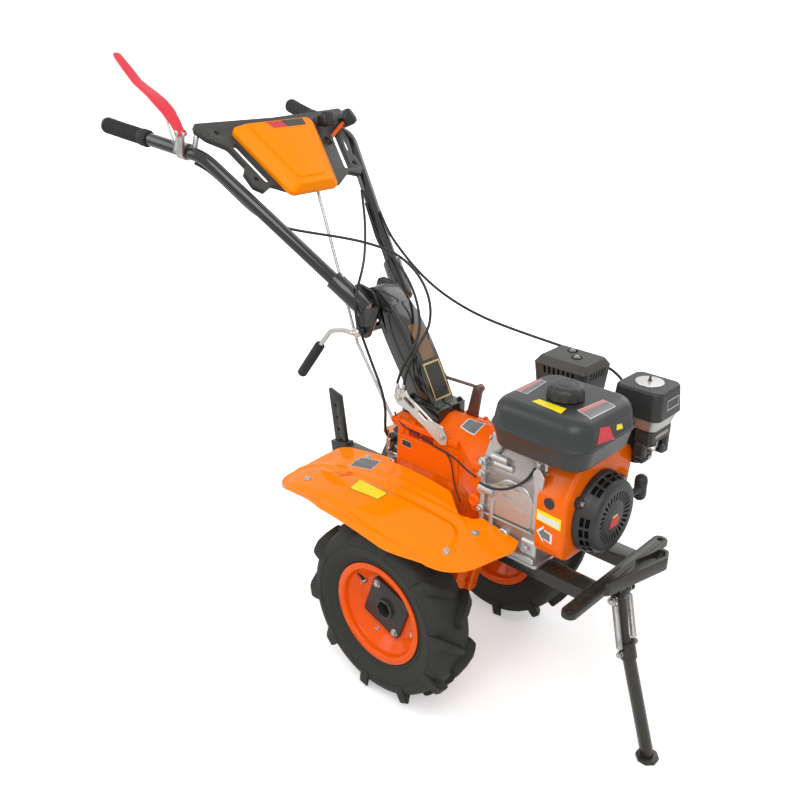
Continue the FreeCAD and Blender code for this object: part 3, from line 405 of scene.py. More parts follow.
ORANGE = finish("orange_enamel", (1.0, 0.25, 0.0), (0.97, 0.20, 0.0), (0.12, 0.2), (0, 0.2, 0.08),
                (700, 0.02, 16, 0.02), (9, 0.35), 0)
ORANGE_CAST = finish("orange_over_casting", (0.88, 0.125, 0.001), (0.79, 0.09, 0.001), (0.22, 0.38),
                     (0, 0.15, 0.08), (420, 0.16, 60, 0.1), (22, 0.5), 0.2, (0.6, 0.05, 0.01))
# painted shade: orange darkened to stand for the shade in recesses, used for two squares on the gearbox side
ORANGE_PAINTED_SHADE = finish("orange_painted_recess_shade", (0.42, 0.022, 0.002), (0.30, 0.016, 0.002), (0.4, 0.6), (0, 0, 0.2),
                     (420, 0.2, 60, 0.1), (22, 0.5), 0.2)
ORANGE_SHROUD = finish("orange_shroud_enamel", (0.86, 0.135, 0.001), (0.80, 0.11, 0.001), (0.14, 0.24),
                       (0, 0.25, 0.08), (700, 0.02, 22, 0.03), (22, 0.3), 0)
ORANGE_RIM = finish("orange_rim_enamel", (0.86, 0.10, 0.002), (0.80, 0.08, 0.002), (0.14, 0.24),
                    (0, 0.25, 0.1), (600, 0.03, 20, 0.03), (22, 0.3), 0)
HOOD_ORANGE = finish("hood_plastic", (1.0, 0.275, 0.0), (0.98, 0.235, 0.0), (0.26, 0.36), (0, 0, 0.08),
                     (1500, 0.05, 18, 0.03), (8, 0.3), 0.05)
BLACK_PAINT = finish("black_enamel", (0.012, 0.012, 0.012), (0.02, 0.019, 0.017), (0.12, 0.24),
                     (0, 0.5, 0.35), (650, 0.02, 30, 0.03), (22, 0.4), 0)
COLUMN_BLACK = finish("column_enamel", (0.016, 0.016, 0.015), (0.024, 0.022, 0.018), (0.12, 0.2),
                      (0, 0.6, 0.4), (600, 0.03, 18, 0.08), (22, 0.4), 0)
STAND_BLACK = finish("stand_enamel", (0.026, 0.024, 0.019), (0.04, 0.035, 0.027), (0.22, 0.34), (0, 0.2, 0.3),
                     (500, 0.04, 24, 0.03), (22, 0.5), 0.15, (0.09, 0.075, 0.06))
PANEL_BLACK = finish("panel_plastic", (0.046, 0.046, 0.044), (0.056, 0.055, 0.051), (0.42, 0.52), (0, 0, 0.3),
                     (1300, 0.2, 20, 0.04), (22, 0.5), 0.05)
TANK_BLACK = finish("tank_enamel", (0.034, 0.036, 0.037), (0.044, 0.046, 0.046), (0.3, 0.4), (0, 0.05, 0.3),
                    (900, 0.06, 14, 0.03), (7, 0.3), 0.05)
COVER_BLACK = finish("cover_plastic", (0.032, 0.032, 0.031), (0.044, 0.043, 0.041), (0.34, 0.48), (0, 0, 0.3),
                     (1200, 0.2, 24, 0.04))
MUFFLER_BLACK = finish("heat_proof_black", (0.05, 0.048, 0.045), (0.066, 0.061, 0.054), (0.38, 0.52),
                       (0, 0, 0.3), (800, 0.16, 30, 0.05), (22, 0.5), 0.2, (0.09, 0.08, 0.07))
# painted shade: near-black finish put inside slots, hollows and bolt wells, where only shade falls
PAINTED_SHADE_BLACK = finish("painted_shade_inside", (0.006, 0.006, 0.006), (0.012, 0.011, 0.01), (0.75, 0.9), (0, 0, 0.1))
CAST = finish("cast_aluminium", (0.34, 0.315, 0.30), (0.24, 0.215, 0.205), (0.4, 0.58), (0.7, 0, 0.5),
              (520, 0.3, 80, 0.14), (22, 0.5), 0.35, (0.17, 0.15, 0.14))
CAST_PALE = finish("pale_aluminium", (0.52, 0.515, 0.50), (0.40, 0.39, 0.375), (0.36, 0.5), (0.8, 0, 0.5),
                   (600, 0.2, 60, 0.08), (22, 0.5), 0.3)
DARK_STEEL = finish("oiled_steel", (0.10, 0.085, 0.078), (0.16, 0.125, 0.105), (0.38, 0.6), (0.7, 0, 0.5),
                    (500, 0.2, 60, 0.1), (22, 0.5), 0.3, (0.22, 0.16, 0.12))
ARM_STEEL = finish("browned_steel", (0.17, 0.105, 0.095), (0.11, 0.07, 0.062), (0.3, 0.46), (0.5, 0, 0.5),
                   (500, 0.15, 60, 0.1), (22, 0.5), 0.2)
ZINC = finish("zinc_plate", (0.50, 0.49, 0.48), (0.36, 0.35, 0.335), (0.28, 0.44), (1, 0, 0.5),
              (800, 0.12, 60, 0.06), (60, 0.5), 0.3)
STRAP_ZINC = finish("zinc_strap", (0.60, 0.58, 0.55), (0.46, 0.44, 0.41), (0.26, 0.4), (0.9, 0, 0.5),
                    (800, 0.08, 40, 0.05), (30, 0.5), 0.2)
CHROME = finish("bright_steel", (0.60, 0.58, 0.55), (0.44, 0.42, 0.39), (0.14, 0.3), (1, 0, 0.5),
                (900, 0.06, 50, 0.04), (50, 0.5), 0.3)
LEVER_RED = finish("red_enamel", (0.74, 0.03, 0.055), (0.66, 0.024, 0.045), (0.32, 0.46), (0, 0.15, 0.3),
                   (800, 0.06, 30, 0.05), (22, 0.5), 0.15, (0.4, 0.02, 0.03))
RUBBER = finish("grip_rubber", (0.02, 0.02, 0.02), (0.036, 0.036, 0.035), (0.6, 0.78), (0, 0, 0.3),
                (900, 0.3, 60, 0.1), (22, 0.5), 0.15)
CABLE_BLACK = finish("cable_sleeve", (0.02, 0.02, 0.019), (0.034, 0.033, 0.031), (0.32, 0.46), (0, 0, 0.3),
                     (900, 0.12, 60, 0.05))
TYRE = finish("tyre_rubber", (0.026, 0.027, 0.023), (0.05, 0.049, 0.04), (0.6, 0.8), (0, 0, 0.25),
              (700, 0.4, 45, 0.2), (30, 0.5), 0.3, (0.11, 0.1, 0.08))
KNOB_BLACK = finish("knob_plastic", (0.02, 0.02, 0.02), (0.034, 0.034, 0.033), (0.26, 0.4), (0, 0, 0.35),
                    (1200, 0.08, 40, 0.04), (22, 0.5), 0.05)
BRONZE = finish("tinted_varnish", (0.20, 0.10, 0.028), (0.13, 0.065, 0.02), (0.16, 0.28), (0, 0.7, 0.5),
                (600, 0.03, 30, 0.04))
LABEL_WHITE = finish("label_white", (0.74, 0.73, 0.72), (0.66, 0.65, 0.63), (0.4, 0.5))
LABEL_GREY = finish("label_grey", (0.15, 0.155, 0.16), (0.20, 0.20, 0.20), (0.35, 0.5))
LABEL_DARK = finish("label_dark", (0.024, 0.022, 0.018), (0.04, 0.036, 0.03), (0.3, 0.4))
LABEL_YELLOW = finish("label_yellow", (0.93, 0.74, 0.005), (0.88, 0.68, 0.005), (0.35, 0.5))
LABEL_RED = finish("label_red", (0.62, 0.02, 0.035), (0.52, 0.018, 0.03), (0.35, 0.5))
LABEL_ROSE = finish("label_rose", (0.60, 0.17, 0.17), (0.52, 0.14, 0.14), (0.35, 0.5))
LABEL_SILVER = finish("label_silver", (0.62, 0.61, 0.60), (0.48, 0.47, 0.46), (0.3, 0.45), (0.6, 0, 0.5),
                      specks=0.2)
LABEL_GOLD = finish("label_gold", (0.72, 0.52, 0.2), (0.58, 0.39, 0.14), (0.3, 0.45), (0.6, 0, 0.5),
                    specks=0.2)


# ---------------------------------------------------------------- grown meshes
def grown(mesh, tree, **sizes):
    """The mesh that the tree makes of the given one."""
    piece = new_piece("grown", mesh)
    grow = piece.modifiers.new("grow", "NODES")
    grow.node_group = tree
    sockets = {s.name: s.identifier for s in tree.interface.items_tree if s.in_out == "INPUT"}
    for name, value in sizes.items():
        grow[sockets[name.replace("_", " ")]] = value
    return baked(piece)


def geometry_tree(name, sizes, last, links, **nodes):
    """Geometry tree that ends by making its copies real and painting them."""
    return node_tree(
        name, "GeometryNodeTree", {"Geometry": "Geometry", **sizes, "Material": "Material"},
        {"Geometry": "Geometry"},
        f"""{links}, {last}.0 > real.0, real.0 > paint.Geometry, start.Material > paint.Material,
        paint.0 > end.0""",
        real=node("GeometryNodeRealizeInstances"), paint=node("GeometryNodeSetMaterial"), **nodes)


# copies of the mesh turned round an axis
RING = geometry_tree(
    "turned_copies", {"Count": 8, "Step": 0.785, "Axis": (0, 1, 0), "Centre": (0, 0, 0)}, "move",
    """start.Count > line.Count, index.0 > angle.0, start.Step > angle.1, start.Axis > turn.Axis,
    angle.0 > turn.Angle, line.0 > copies.Points, start.Geometry > copies.Instance, turn.0 > copies.Rotation,
    copies.0 > move.Geometry, start.Centre > move.Translation""",
    line=node("GeometryNodeMeshLine", Offset=(0, 0, 0)), index=node("GeometryNodeInputIndex"),
    angle=node("ShaderNodeMath", operation="MULTIPLY"), turn=node("FunctionNodeAxisAngleToRotation"),
    copies=node("GeometryNodeInstanceOnPoints"), move=node("GeometryNodeTransform"))
# hex head with a chamfered top on a washer at each point, along the point's facing
BOLT = geometry_tree(
    "bolt_heads", {"Head Radius": 0.006, "Head Height": 0.005, "Washer Radius": 0.008,
                   "Washer Height": 0.0012},
    "copies",
    """start.Washer Radius > washer.Radius, start.Washer Height > washer.Depth, start.Head Radius > head.Radius,
    start.Head Height > body.0, body.0 > head.Depth, start.Head Radius > tip.0, tip.0 > crown.Radius Top,
    start.Head Radius > rim.0, rim.0 > crown.Radius Bottom, start.Head Height > cap.0, cap.0 > crown.Depth,
    start.Washer Height > half_washer.0, body.0 > half_body.0, start.Washer Height > head_up.0,
    half_body.0 > head_up.1, start.Washer Height > crown_up.0, body.0 > crown_up.1,
    half_washer.0 > washer_way.Z, head_up.0 > head_way.Z, crown_up.0 > crown_way.Z,
    washer_way.0 > washer_move.Translation, washer.Mesh > washer_move.Geometry, washer_move.0 > join.0,
    head_way.0 > head_move.Translation, head.Mesh > head_move.Geometry, head_move.0 > join.0,
    crown_way.0 > crown_move.Translation, crown.Mesh > crown_move.Geometry, crown_move.0 > join.0,
    facing.Attribute > align.Vector, start.Geometry > copies.Points, join.0 > copies.Instance,
    align.0 > copies.Rotation""",
    washer=node("GeometryNodeMeshCylinder", Vertices=20), head=node("GeometryNodeMeshCylinder", Vertices=6),
    crown=node("GeometryNodeMeshCone", Vertices=12), join=node("GeometryNodeJoinGeometry"),
    facing=node("GeometryNodeInputNamedAttribute", data_type="FLOAT_VECTOR", Name="facing"),
    align=node("FunctionNodeAlignRotationToVector", axis="Z"), copies=node("GeometryNodeInstanceOnPoints"),
    head_up=node("ShaderNodeMath", operation="ADD"), crown_up=node("ShaderNodeMath", operation="ADD"),
    **{name: node("ShaderNodeMath", operation="MULTIPLY", _1=share) for name, share in (
        ("body", 0.8), ("tip", 0.72), ("rim", 0.9), ("cap", 0.2), ("half_washer", 0.5), ("half_body", 0.5))},
    **{name + "_way": node("ShaderNodeCombineXYZ") for name in ("washer", "head", "crown")},
    **{name + "_move": node("GeometryNodeTransform") for name in ("washer", "head", "crown")})
# wound wire standing on the origin along +Z
COIL = geometry_tree(
    "wound_wire", {"Turns": 20.0, "Coil Radius": 0.005, "Length": 0.1, "Wire Radius": 0.001}, "soft",
    """start.Turns > spiral.Rotations, start.Coil Radius > spiral.Start Radius,
    start.Coil Radius > spiral.End Radius, start.Length > spiral.Height, start.Wire Radius > wire.Radius,
    spiral.0 > skin.Curve, wire.0 > skin.Profile Curve, skin.0 > soft.0""",
    spiral=node("GeometryNodeCurveSpiral", Resolution=12), soft=node("GeometryNodeSetShadeSmooth"),
    wire=node("GeometryNodeCurvePrimitiveCircle", Resolution=6),
    skin=node("GeometryNodeCurveToMesh", Fill_Caps=True))
WASHER = 1.2


def bolts(name, places, head, height, washer, body="frame", material=ZINC, slot="zinc"):
    """Bolt heads on washers at (place, facing) pairs; radii and heights in millimetres."""
    points = mesh_of([placed(place) for place, way in places], [])
    facing = points.attributes.new("facing", "FLOAT_VECTOR", "POINT")
    facing.data.foreach_set("vector", [c for place, way in places for c in way.normalized()])
    mesh = grown(points, BOLT, Head_Radius=head * MM, Head_Height=height * MM,
                 Washer_Radius=washer * MM, Washer_Height=WASHER * MM, Material=material)
    made(name, [mesh], body, angle=None)


def coil(place, turn, length, turns, radius, wire):
    """Wound spring from the place along the turned Z axis."""
    mesh = grown(mesh_of([(0, 0, 0)], []), COIL, Turns=turns, Coil_Radius=radius * MM, Length=length * MM,
                 Wire_Radius=wire * MM, Material=ZINC)
    mesh.transform(Matrix.Translation(placed(place)) @ turn)
    return mesh


def turn_to(way):
    return way.to_track_quat("Z", "Y").to_matrix().to_4x4()


# ---------------------------------------------------------------- camera, light and floor
def camera():
    turn, rise, roll = [math.radians(angle) for angle in (43.173, 23.874, 0.360)]
    back = Vector((math.sin(turn) * math.cos(rise), -math.cos(turn) * math.cos(rise), math.sin(rise)))
    level = Vector((math.cos(turn), math.sin(turn), 0))
    upright = back.cross(level)
    right = level * math.cos(roll) + upright * math.sin(roll)
    up = upright * math.cos(roll) - level * math.sin(roll)
    data = bpy.data.cameras.new("camera")
    data.lens, data.sensor_width, data.clip_start = 41.25, 36.0, 0.02
    seat = new_piece("camera", data)
    place = Matrix((right, up, back)).transposed().to_4x4()
    place.translation = Vector((1.2372, -1.3469, 1.3869))
    seat.matrix_world = place
    bpy.context.scene.camera = seat


def lamp(name, place, target, size, power):
    data = bpy.data.lights.new(name, "AREA")
    data.energy, data.size = power, size
    light = new_piece(name, data)
    light.location = place
    light.rotation_euler = (Vector(target) - Vector(place)).to_track_quat("-Z", "Y").to_euler()


def studio():
    """Soft room that is white to the camera and in reflections, three lamps and a pale floor."""
    world = bpy.data.worlds.new("soft_room")
    bpy.context.scene.world = world
    world.use_nodes = True
    wired(world.node_tree,
          """path.Is Camera Ray > first.0, path.Is Glossy Ray > first.1, first.0 > second.0,
          path.Is Transmission Ray > second.1, second.0 > mixed.Fac, room.0 > mixed.1, white.0 > mixed.2,
          mixed.0 > output.Surface""",
          room=node(world.node_tree.nodes["Background"], Color=(1.0, 0.99, 0.98, 1), Strength=0.62),
          white=node("ShaderNodeBackground", Color=(1, 1, 1, 1), Strength=1.0),
          path=node("ShaderNodeLightPath"), first=node("ShaderNodeMath", operation="MAXIMUM"),
          second=node("ShaderNodeMath", operation="MAXIMUM"), mixed=node("ShaderNodeMixShader"),
          output=node(world.node_tree.nodes["World Output"]))
    lamp("key_lamp", (1.6, -1.9, 3.0), (0.1, 0, 0.5), 2.2, 58)
    lamp("left_lamp", (-2.2, -2.2, 2.4), (0, 0, 0.6), 2.0, 26)
    lamp("back_lamp", (0.4, 2.8, 2.6), (0, 0, 0.6), 2.4, 26)
    bpy.context.scene.view_settings.view_transform = "Standard"
    paint = bpy.data.materials.new("pale_floor")
    paint.use_nodes = True
    nodes = paint.node_tree.nodes
    wired(paint.node_tree,
          """place.Position > away.0, away.Value > fade.Value, fade.Result > glow.1, path.Is Camera Ray > glow.0,
          glow.0 > lift.Strength, shader.0 > both.0, lift.0 > both.1, both.0 > output.Surface""",
          shader=node(nodes["Principled BSDF"], Base_Color=(0.93, 0.93, 0.93, 1), Roughness=0.9,
                      Specular_IOR_Level=0.1),
          place=node("ShaderNodeNewGeometry"), away=node("ShaderNodeVectorMath", operation="LENGTH"),
          fade=node("ShaderNodeMapRange", interpolation_type="SMOOTHSTEP", From_Min=0.7, From_Max=2.4,
                    To_Min=0.36, To_Max=1.1),
          path=node("ShaderNodeLightPath"), glow=node("ShaderNodeMath", operation="MULTIPLY"),
          lift=node("ShaderNodeEmission"), both=node("ShaderNodeAddShader"),
          output=node(nodes["Material Output"]))
    corners = [(-9, -9, 0), (9, -9, 0), (9, 9, 0), (-9, 9, 0)]
    new_piece("floor", mesh_of(corners, [(0, 1, 2, 3)], paint))


camera()
studio()


# ---------------------------------------------------------------- wheels
TYRE_PLANE, AXLE_HEIGHT, LUG_COUNT = 197, 205, 10
TREAD = [  # across, forward along the tread, tip radius, root radius, half width at tip and root
    (-5, 40, 204.6, 180, 7.5, 12), (8, 33, 205, 180, 9, 14), (26, 20, 204.5, 178, 10.5, 15.5),
    (42, 6, 202.5, 170, 12, 17), (50, -1, 197.5, 163, 12.5, 17), (53, -4, 186, 156, 10.5, 14)]
CARCASS = [(101.8, 25.5), (106.5, 34.2), (116, 34.6), (119, 37.5), (126, 38.5), (137, 46.5), (150, 50.8),
           (163, 51.6), (174, 49), (181.5, 42.5), (186, 32), (188.5, 18), (189.5, 6)]
CAVITY = [(172, 4), (168, 24), (150, 38), (132, 33), (116, 25), (101.8, 22)]


def tyre_lug(side):
    """One bar of the tread from the middle to the shoulder, on a wheel whose axis is Y, top of wheel up."""
    rings = []
    for across, forward, tip, root, half_tip, half_root in TREAD:
        corners = ((root, -half_root), (tip, -half_tip), (tip, half_tip), (root, half_root))
        turns = [(radius, (forward + half) / 200) for radius, half in corners]
        rings.append([Vector((math.sin(a) * r, across * side, math.cos(a) * r)) * MM for r, a in turns])

    def soften(bm):
        edges = [e for e in bm.edges if e.calc_face_angle(0) > 0.5]
        bmesh.ops.bevel(bm, geom=edges, offset=1.8 * MM, segments=2, affect="EDGES")
    return edited(outward(skinned(rings)), soften)


def tyre(word, side):
    centre = at(0, side * TYRE_PLANE, AXLE_HEIGHT)
    half = CARCASS + [(r, -y) for r, y in reversed(CARCASS)]
    meshes = [turned(half + [(r, -y) for r, y in reversed(CAVITY)] + CAVITY, centre, Y, 96, closed=True)]
    for row in (-1, 1):
        lug = tyre_lug(row)
        lug.transform(Matrix.Rotation(math.radians(9 if row == side else 27), 4, Y))
        meshes.append(grown(lug, RING, Count=LUG_COUNT, Step=2 * math.pi / LUG_COUNT, Axis=tuple(Y),
                            Centre=tuple(centre), Material=TYRE))
    for radius, y, thick in ((158, 51.4, 1.1), (124, 38.2, 1.0)):
        for face in (-1, 1):
            bead = [(radius + thick * math.cos(a), face * (y + thick * math.sin(a)))
                    for a in (k * math.pi / 4 for k in range(8))]
            meshes.append(turned(bead, centre, Y, 96, closed=True))
    made(f"tyre_{word}_tread", meshes, "wheels", TYRE, ("tyre_" + word,), 38)


def valve(word, side):
    """Valve stem with its nut, standing out of a slot in the wheel disc whose shade is painted as a near-black
    ring.
    """
    leaning = (Matrix.Translation(at(-70, side * 203, 242)) @ Matrix.Rotation(math.radians(-8), 4, "Y")
               @ Matrix.Rotation(math.radians(-30 * side), 4, "X"))
    slot = (Matrix.Translation(at(-72, side * 198.8 - 0.6, 250)) @ Matrix.Rotation(math.radians(-16), 4, "Y")
            @ Matrix.Diagonal((1, 1, 2, 1)))
    stem = [(0, -6), (5.4, -6), (5.4, 5), (4.4, 8), (4.4, 22), (3.4, 23), (3.4, 29), (0, 30)]
    nut = [(8.2, -4), (8.2, 1), (6.6, 2.6)]
    # painted shade: near-black ring in the slot round the stem
    dark = [(7.0, 0), (7.6, 0.6), (7.0, 1.2)]
    meshes = []
    for profile, axis, segments, material, place in (
            (stem, Z, 16, CABLE_BLACK, leaning), (nut, Z, 6, ZINC, leaning),
            (dark, Y, 24, PAINTED_SHADE_BLACK, slot)):
        meshes.append(turned(profile, Vector(), axis, segments, material))
        meshes[-1].transform(place)
    made("valve_" + word, meshes, "wheels")


for word, side in RIGHT_LEFT:
    tyre(word, side)
    eased("rim_" + word, ORANGE_RIM, 0.6)
    eased("hub_" + word, COVER_BLACK)
    valve(word, side)
    for name, y, sizes, spots in (("hub_bolts_", 207.5, (6.4, 5.0, 8.8), ((-25, 50), (25, -50))),
                                  ("disc_bolts_", 199.5, (6.0, 5.6, 9.0),
                                   ((-32, -74), (72, -38), (-80, 24), (40, 76)))):
        bolts(name + word, [((x, side * y, AXLE_HEIGHT + z), Y * side) for x, z in spots], *sizes, "wheels")
repaint(DARK_STEEL, "axle_shaft")


# ---------------------------------------------------------------- fenders
FENDER_PLAN = [(-282, -60, 26), (-286, -258, 44), (-120, -278, 60), (60, -278, 110), (214, -238, 90),
               (258, -122, 26), (250, -101, 6), (156, -101, 8), (126, -130, 20), (64, -84, 30),
               (-120, -70, 14), (-132, -60, 8)]
PANEL_LINE = Vector((-225, -212)), Vector((120, -196))    # middle of the pressed panel, from rear to front
ABOVE = 700                                               # height to look down from


def smooth_step(share):
    share = max(0.0, min(1.0, share))
    return share * share * (3 - 2 * share)


def pressed(x, y):
    """Height of the panel, the ridge round it and the inner rib above the plain sheet, in millimetres."""
    a, b = PANEL_LINE
    p = Vector((x, y))
    share = max(0.0, min(1.0, (p - a).dot(b - a) / (b - a).length_squared))
    away = (p - a - (b - a) * share).length
    ridge = 2.6 * smooth_step(1 - abs(away - 64) / 8) if x < 150 else 0.0
    along = max(0.0, min(1.0, (x + 250) / 60, (150 - x) / 60))
    rib = max(0, 1 - abs(y + 116 + 0.03 * x) / 10) * along
    return 5.0 * smooth_step((45 - away) / 6.5) + ridge + 2.0 * smooth_step(rib)


def upward(bm):
    bmesh.ops.recalc_face_normals(bm, faces=bm.faces)
    if sum(face.normal.z for face in bm.faces) < 0:
        bmesh.ops.reverse_faces(bm, faces=bm.faces)


def turned_down(bm):
    """Turns the border of the sheet down, in two steps."""
    upward(bm)
    border = [e for e in bm.edges if e.is_boundary]
    for drop in (1.4, 5.0):
        new = bmesh.ops.extrude_edge_only(bm, edges=border)["geom"]
        for vert in (v for v in new if isinstance(v, bmesh.types.BMVert)):
            vert.co.z -= drop * MM
        border = [e for e in new if isinstance(e, bmesh.types.BMEdge) and e.is_boundary]
    upward(bm)


def fender(word, side):
    """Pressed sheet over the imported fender; gives its surface back."""
    sheet = surface_of("fender_" + word)
    ring = []
    corners = rounded_outline(FENDER_PLAN, 6)
    for a, b in zip(corners, corners[1:] + corners[:1]):
        steps = max(1, round((b - a).length / 9))
        ring += [a + (b - a) * k / steps for k in range(steps)]
    n = len(ring)
    near = BVHTree.FromPolygons([p.to_3d() + Z * up for up in (0, 1) for p in ring],
                                [(k, (k + 1) % n, n + (k + 1) % n, n + k) for k in range(n)])
    grid = [Vector((x, y)) for x in range(-284, 262, 5) for y in range(-278, -56, 5)
            if near.find_nearest(Vector((x, y, 0.5)))[3] > 3.2]
    flat, _, faces = delaunay_2d_cdt(ring + grid, [], [list(range(n))], 1, 1e-4)[:3]

    def top(p):
        """Height of the sheet, looked for a little inwards where the outline misses it."""
        for pull in (0.0, 0.8, 1.6, 3.0):
            shift = Vector((-4 - p.x, -170 - p.y)).normalized() * pull
            hit = sheet.ray_cast(at(p.x + shift.x, -side * (p.y + shift.y), ABOVE), -Z)[0]
            if hit is not None:
                return hit.z
        return 420 * MM

    points = [at(p.x, -side * p.y, pressed(*p)) + Z * top(p) for p in flat]
    mesh = walled(edited(mesh_of(points, [tuple(f) for f in faces]), turned_down), 1.6, -1.0)
    mesh = made(f"fender_{word}_pressing", [mesh], "frame", ORANGE, ("fender_" + word,),
                50).data
    cover = BVHTree.FromPolygons([v.co for v in mesh.vertices], [p.vertices[:] for p in mesh.polygons])
    bolts("fender_bolts_" + word, [cover.ray_cast(at(x, -side * y, ABOVE), -Z)[:2]
                                   for x, y in ((176, -141), (161, -211), (-177, -82), (-218, -223))],
          5.2, 4.4, 8.0)
    return cover


FENDER_TOP = {word: fender(word, side) for word, side in RIGHT_LEFT}


def fender_label(name, word, plan, material, edge=None, width=0):
    side = dict(RIGHT_LEFT)[word]
    corners = [FENDER_TOP[word].ray_cast(at(x, -side * y, ABOVE), -Z)[0] for x, y in plan]
    label(name, "frame", corners[::-side], material, edge, width, 0.3, FENDER_TOP[word])


fender_label("fender_label_grey", "right", ((-187, -130), (-126, -121), (-137, -81), (-192, -89)),
             LABEL_GREY, LABEL_SILVER, 2.4)
for word, side in RIGHT_LEFT:
    fender_label("fender_label_yellow_" + word, word, ((-110, -204), (-34, -196), (-30, -170), (-117, -166)),
                 LABEL_YELLOW, LABEL_DARK, 1.4)
fender_label("fender_patch", "right", ((-166, -182), (-155, -178), (-149, -151), (-168, -149)), ORANGE_CAST)


# ---------------------------------------------------------------- gearbox and frame
for node_name, material, width in (
        ("drive_case", ORANGE_CAST, 3.0), ("gearbox_housing", ORANGE_CAST, 4.0),
        ("gearbox_cover", ORANGE_CAST, 2.5), ("bell_housing", ORANGE_CAST, 3.5), ("gear_arm", ARM_STEEL, 1.4),
        ("hitch_frame", STAND_BLACK, 1.2), ("stake_socket", STAND_BLACK, 1.5),
        ("depth_stake", STAND_BLACK, 0.8),
        ("frame_rails", STAND_BLACK, 1.2), ("cross_bar", STAND_BLACK, 1.4), ("guard_strip", STAND_BLACK, 0.8),
        ("stand_lugs", STAND_BLACK, 0.8), ("stand_leg", STAND_BLACK, 0.8), ("stand_foot", STAND_BLACK, 1.2),
        ("fender_straps", STAND_BLACK, 1.0), ("engine_plate", CAST_PALE, 1.2)):
    eased(node_name, material, width)
# the housing's ribs go flush below the step plates, to end inside them
RIB_FACE, RIB_INNER, RIB_TOP = 58.6, 58.4, 551
for vertex in bpy.data.objects["gearbox_housing_shape"].data.vertices:
    if abs(vertex.co.y) > RIB_FACE * MM and vertex.co.z < RIB_TOP * MM:
        vertex.co.y = math.copysign(RIB_INNER * MM, vertex.co.y)

CAP_RING = [(37 * math.cos(a), 59, AXLE_HEIGHT + 37 * math.sin(a))
            for a in (math.radians(60 * k + 15) for k in range(6))]
ON_CASE = {"material": ORANGE_CAST, "slot": "orange_paint"}
ON_COLUMN = {"material": BLACK_PAINT, "slot": "black_paint"}


def paired_bolts(name, sizes, way, spots, **looks):
    """The same bolts on both sides, facing the way given, or outwards."""
    bolts(name, [(place, way or out) for place, out in mirrored(*spots)], *sizes, **looks)


bolts("gearbox_bolts",
      [(place, Z) for place, out in mirrored(*[(x, 61.5, 564) for x in (-104, -60, -14, 34)])]
      + [(place, -X) for place, out in mirrored((126, 74, 458), (126, 84, 548), (126, 30, 602))],
      5.2, 4.6, 7.0, **ON_CASE)
paired_bolts("case_bolts", (4.2, 3.6, 5.6), None, [(x, 7.0, z) for x, z in (
    (-84, 300), (-88, 200), (66, 300), (60, 200), (-20, 122), (34, 134))], **ON_CASE)
paired_bolts("cap_bolts", (3.6, 3.2, 5.0), None, CAP_RING)
paired_bolts("column_bolts", (5.2, 4.6, 7.4), Z, [(-100, 36, 603), (-18, 36, 603)], **ON_COLUMN)
paired_bolts("foot_bolts", (5.4, 4.8, 8.4), Z,
             [(96, 84, 399), (140, 84, 399), (166, 92, 394), (278, 92, 394)])
paired_bolts("hitch_bolts", (5.6, 4.8, 8.2), None, [(-140, 28, 400), (-172, 28, 400), (-138, 28, 470)])
paired_bolts("socket_bolts", (5.4, 5.0, 8.0), None, [(-343, 13.4, 376)])
paired_bolts("stand_bolts", (6.4, 5.0, 8.6), None, [(424, 35.3, 346)])
paired_bolts("stand_pin_heads", (4.2, 3.0, 5.4), None, [(449.8, 30.9, 231.5)], body="stand")


def housing_details():
    """Bosses, drain plugs and step plates of the gearbox and its bell, and its recesses as two squares of
    darkened orange, a painted shade.
    """
    meshes = []
    for side in (-1, 1):
        low, high = (-60.6, -57.5) if side < 0 else (57.5, 60.6)
        for (x, y, z), radius, bulge, steps in (
                ((-98, 58, 538), 9, 3.2, []), ((-98, 58, 430), 9, 3.2, []), ((-20, 58, 430), 10, 3.2, []),
                ((44, 58, 450), 8, 3.2, []), ((140, 95, 478), 14, 9.0, [(13, 9), (10, 12)])):
            profile = [(radius, -1), (radius, bulge - 1.4), (radius - 1.4, bulge), *steps, (0, bulge)]
            meshes.append(turned(profile, (x, side * y, z), Y * side, 40))
        meshes += [block((128, side * 95 - 3, 450), (147, side * 95 + 3, 465), 2.4),
                   block((-108, low, 466), (60, high, 528), 1.5),
                   block((-112, low, 404), (60, high, 412), 1.5)]
    # painted shade: two squares in darkened orange stand for the shaded recesses on the right side
    meshes += [block((x, -60.4, 532), (x + 30, -57.6, 552), 1.2, ORANGE_PAINTED_SHADE) for x in (-76, -38)]
    made("housing_bosses", meshes, "frame", ORANGE_CAST)


def inside(point, ring):
    """Whether a 2-D point lies inside a closed ring."""
    odd = False
    for a, b in zip(ring, ring[1:] + ring[:1]):
        if (a.y > point.y) != (b.y > point.y) and point.x < a.x + (point.y - a.y) * (b.x - a.x) / (b.y - a.y):
            odd = not odd
    return odd


